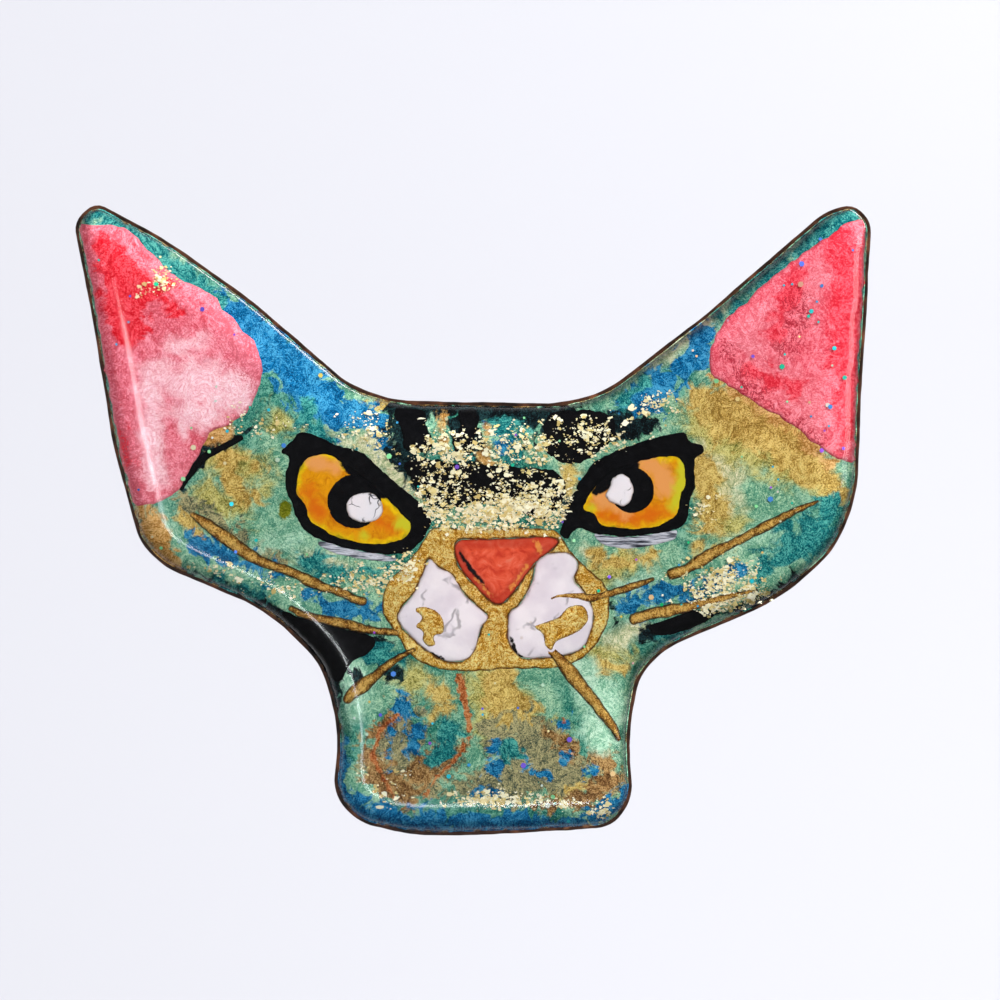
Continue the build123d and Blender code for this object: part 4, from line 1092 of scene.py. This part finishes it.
def dress_hardware():
    """Finishes of the CAD metal parts on the back, with their hard edges broken."""
    finishes = {
        "pin_bar": steel("nickel_bar", (196, 194, 186), 0.24, (0.4, 6.0, 6.0)),
        "hinge_rivet": steel("nickel_rivet", (204, 202, 196), 0.20, (3.0, 3.0, 3.0)),
        "needle": steel("polished_needle", (214, 214, 212), 0.12, (0.3, 8.0, 8.0)),
        "catch_roller": steel("nickel_roller", (206, 200, 184), 0.20, (5.0, 1.0, 1.0)),
        "adhesive_bed": epoxy(),
    }
    breaks = {"pin_bar": 0.08, "hinge_rivet": 0.03, "catch_roller": 0.05, "adhesive_bed": 0.07}
    for node, material in finishes.items():
        piece = NODES[node]
        piece.data.materials.clear()
        piece.data.materials.append(material)
        if node in breaks:
            weld = piece.modifiers.new("weld", "WELD")
            weld.merge_threshold = 1e-6
            bevel = piece.modifiers.new("broken_edges", "BEVEL")
            bevel.width = breaks[node] * MM
            bevel.segments = 2
            bevel.limit_method = "ANGLE"
            bevel.angle_limit = math.radians(40)
            bevel.harden_normals = False


# ---- stage, light and camera ----
def make_stage():
    """Pale sheet: a floor well below that curves up into a backdrop far behind."""
    level, edge, bend, half_width, top = -200, 350, 250, 6000, 4000
    paper = Graph("pale_paper").paint((150, 151, 155), 0.9, Emission_Color=(160, 159, 165),
                                      Emission_Strength=1.0)
    profile = [(-half_width, 0), (edge, 0)]
    for i in range(1, 17):
        angle = math.pi / 2 * i / 16
        profile.append((edge + bend * math.sin(angle), bend * (1 - math.cos(angle))))
    profile.append((edge + bend, top))
    verts = [(x, y, level + z) for x in (-half_width, half_width) for y, z in profile]
    count = len(profile)
    faces = [(i, count + i, count + i + 1, i + 1) for i in range(count - 1)]
    floor = mesh_object("floor", verts, faces, [True] * len(faces))
    floor.data.materials.append(paper)
    floor.visible_glossy = False                   # the resin mirrors the room, not the sheet


def softbox(name, place, target, width, height, power, tint=(1, 1, 1), turn=0.0, glossy=True, diffuse=True):
    """Area light. With no diffuse part it only shows as a reflection, like a bright window far away."""
    light = bpy.data.lights.new(name, "AREA")
    light.shape = "RECTANGLE"
    light.size = width
    light.size_y = height
    light.energy = power
    light.color = tint
    lamp = bpy.data.objects.new(name, light)
    lamp.location = place
    lamp.rotation_mode = "QUATERNION"
    aim = (Vector(target) - Vector(place)).to_track_quat("-Z", "Y")
    lamp.rotation_quaternion = aim @ Quaternion((0, 0, 1), math.radians(turn))
    lamp.visible_camera = False
    lamp.visible_diffuse = diffuse
    lamp.visible_glossy = glossy
    bpy.context.scene.collection.objects.link(lamp)


def make_light():
    middle = (cad_box[0] + cad_box[1]) / 2
    softbox("key_upper_right", (0.36, -0.62, 0.46), middle, 0.8, 0.8, 21.5, (1.0, 0.99, 0.97), glossy=False)
    softbox("fill_left", (-0.60, -0.50, 0.10), middle, 0.7, 0.7, 4.0, (0.96, 0.98, 1.0), glossy=False)
    softbox("back_fill", (0.35, 0.40, 0.35), middle, 0.4, 0.4, 3.0)
    softbox("window_far_right", (0.50, -0.28, 0.05), (0.02, 0, 0), 0.25, 0.25, 0.8, (0.95, 0.97, 1.0),
            diffuse=False)
    bars = ((-0.124, -0.010, 0.013, 0.080, 0), (-0.098, -0.086, 0.013, 0.105, 46),
            (0.005, -0.134, 0.110, 0.014, 0))      # a window's frame, mirrored along the left and the chin
    for i, (x, z, width, height, turn) in enumerate(bars):
        softbox(f"window_frame_{i}", (x, -0.30, z), (x, 0, z), width, height, 46 * width * height,
                (0.93, 0.97, 1.0), turn, diffuse=False)


def make_world():
    """Even room light. What metal and resin mirror of it is dim ahead of the face and bright behind."""
    g = Graph("studio", world=True)
    ahead = g.node("ShaderNodeSeparateXYZ", {0: g.place.outputs["Generated"]}).outputs["Y"]
    limits = {"Value": ahead, "From Min": -0.1, "From Max": 0.4, "To Min": 0.10, "To Max": 0.75}
    strength = g.node("ShaderNodeMapRange", limits).outputs[0]
    surface = g.node("ShaderNodeBackground", {"Color": (0.80, 0.84, 0.92, 1), "Strength": 0.22})
    mirrored = g.node("ShaderNodeBackground", {"Color": (0.86, 0.89, 0.94, 1), "Strength": strength})
    seen = g.node("ShaderNodeBackground", {"Color": (241, 242, 247)})
    path = g.node("ShaderNodeLightPath")
    for ray, shader in (("Is Glossy Ray", mirrored), ("Is Camera Ray", seen)):
        inputs = {0: path.outputs[ray], 1: surface.outputs[0], 2: shader.outputs[0]}
        surface = g.node("ShaderNodeMixShader", inputs)
    g.feed(g.out.inputs["Surface"], surface.outputs[0])
    bpy.context.scene.world = g.owner


def make_camera():
    """Square on to the face, framed as it would be photographed from above on a table."""
    lo, hi = cad_box
    lens = 100.0
    share = 0.796                                  # the brooch's width over the picture's
    aside, above = 0.027, 0.0205                   # how far the picture's middle lies from the brooch's
    data = bpy.data.cameras.new("camera")
    data.lens = lens
    data.clip_start = 0.01
    camera = bpy.data.objects.new("camera", data)
    frame_width = (hi.x - lo.x) / share
    away = frame_width * lens / data.sensor_width
    camera.location = ((lo.x + hi.x) / 2 + aside * frame_width, -COAT_FRONT * MM - away,
                       (lo.z + hi.z) / 2 + above * frame_width)
    camera.rotation_euler = (math.radians(90), 0, 0)
    bpy.context.scene.collection.objects.link(camera)
    bpy.context.scene.camera = camera


make_camera()
make_plate()
make_coat()
make_face()
make_flakes()
make_glitter()
make_dome()
dress_hardware()
make_stage()
make_light()
make_world()
bpy.context.scene.view_settings.view_transform = "Standard"
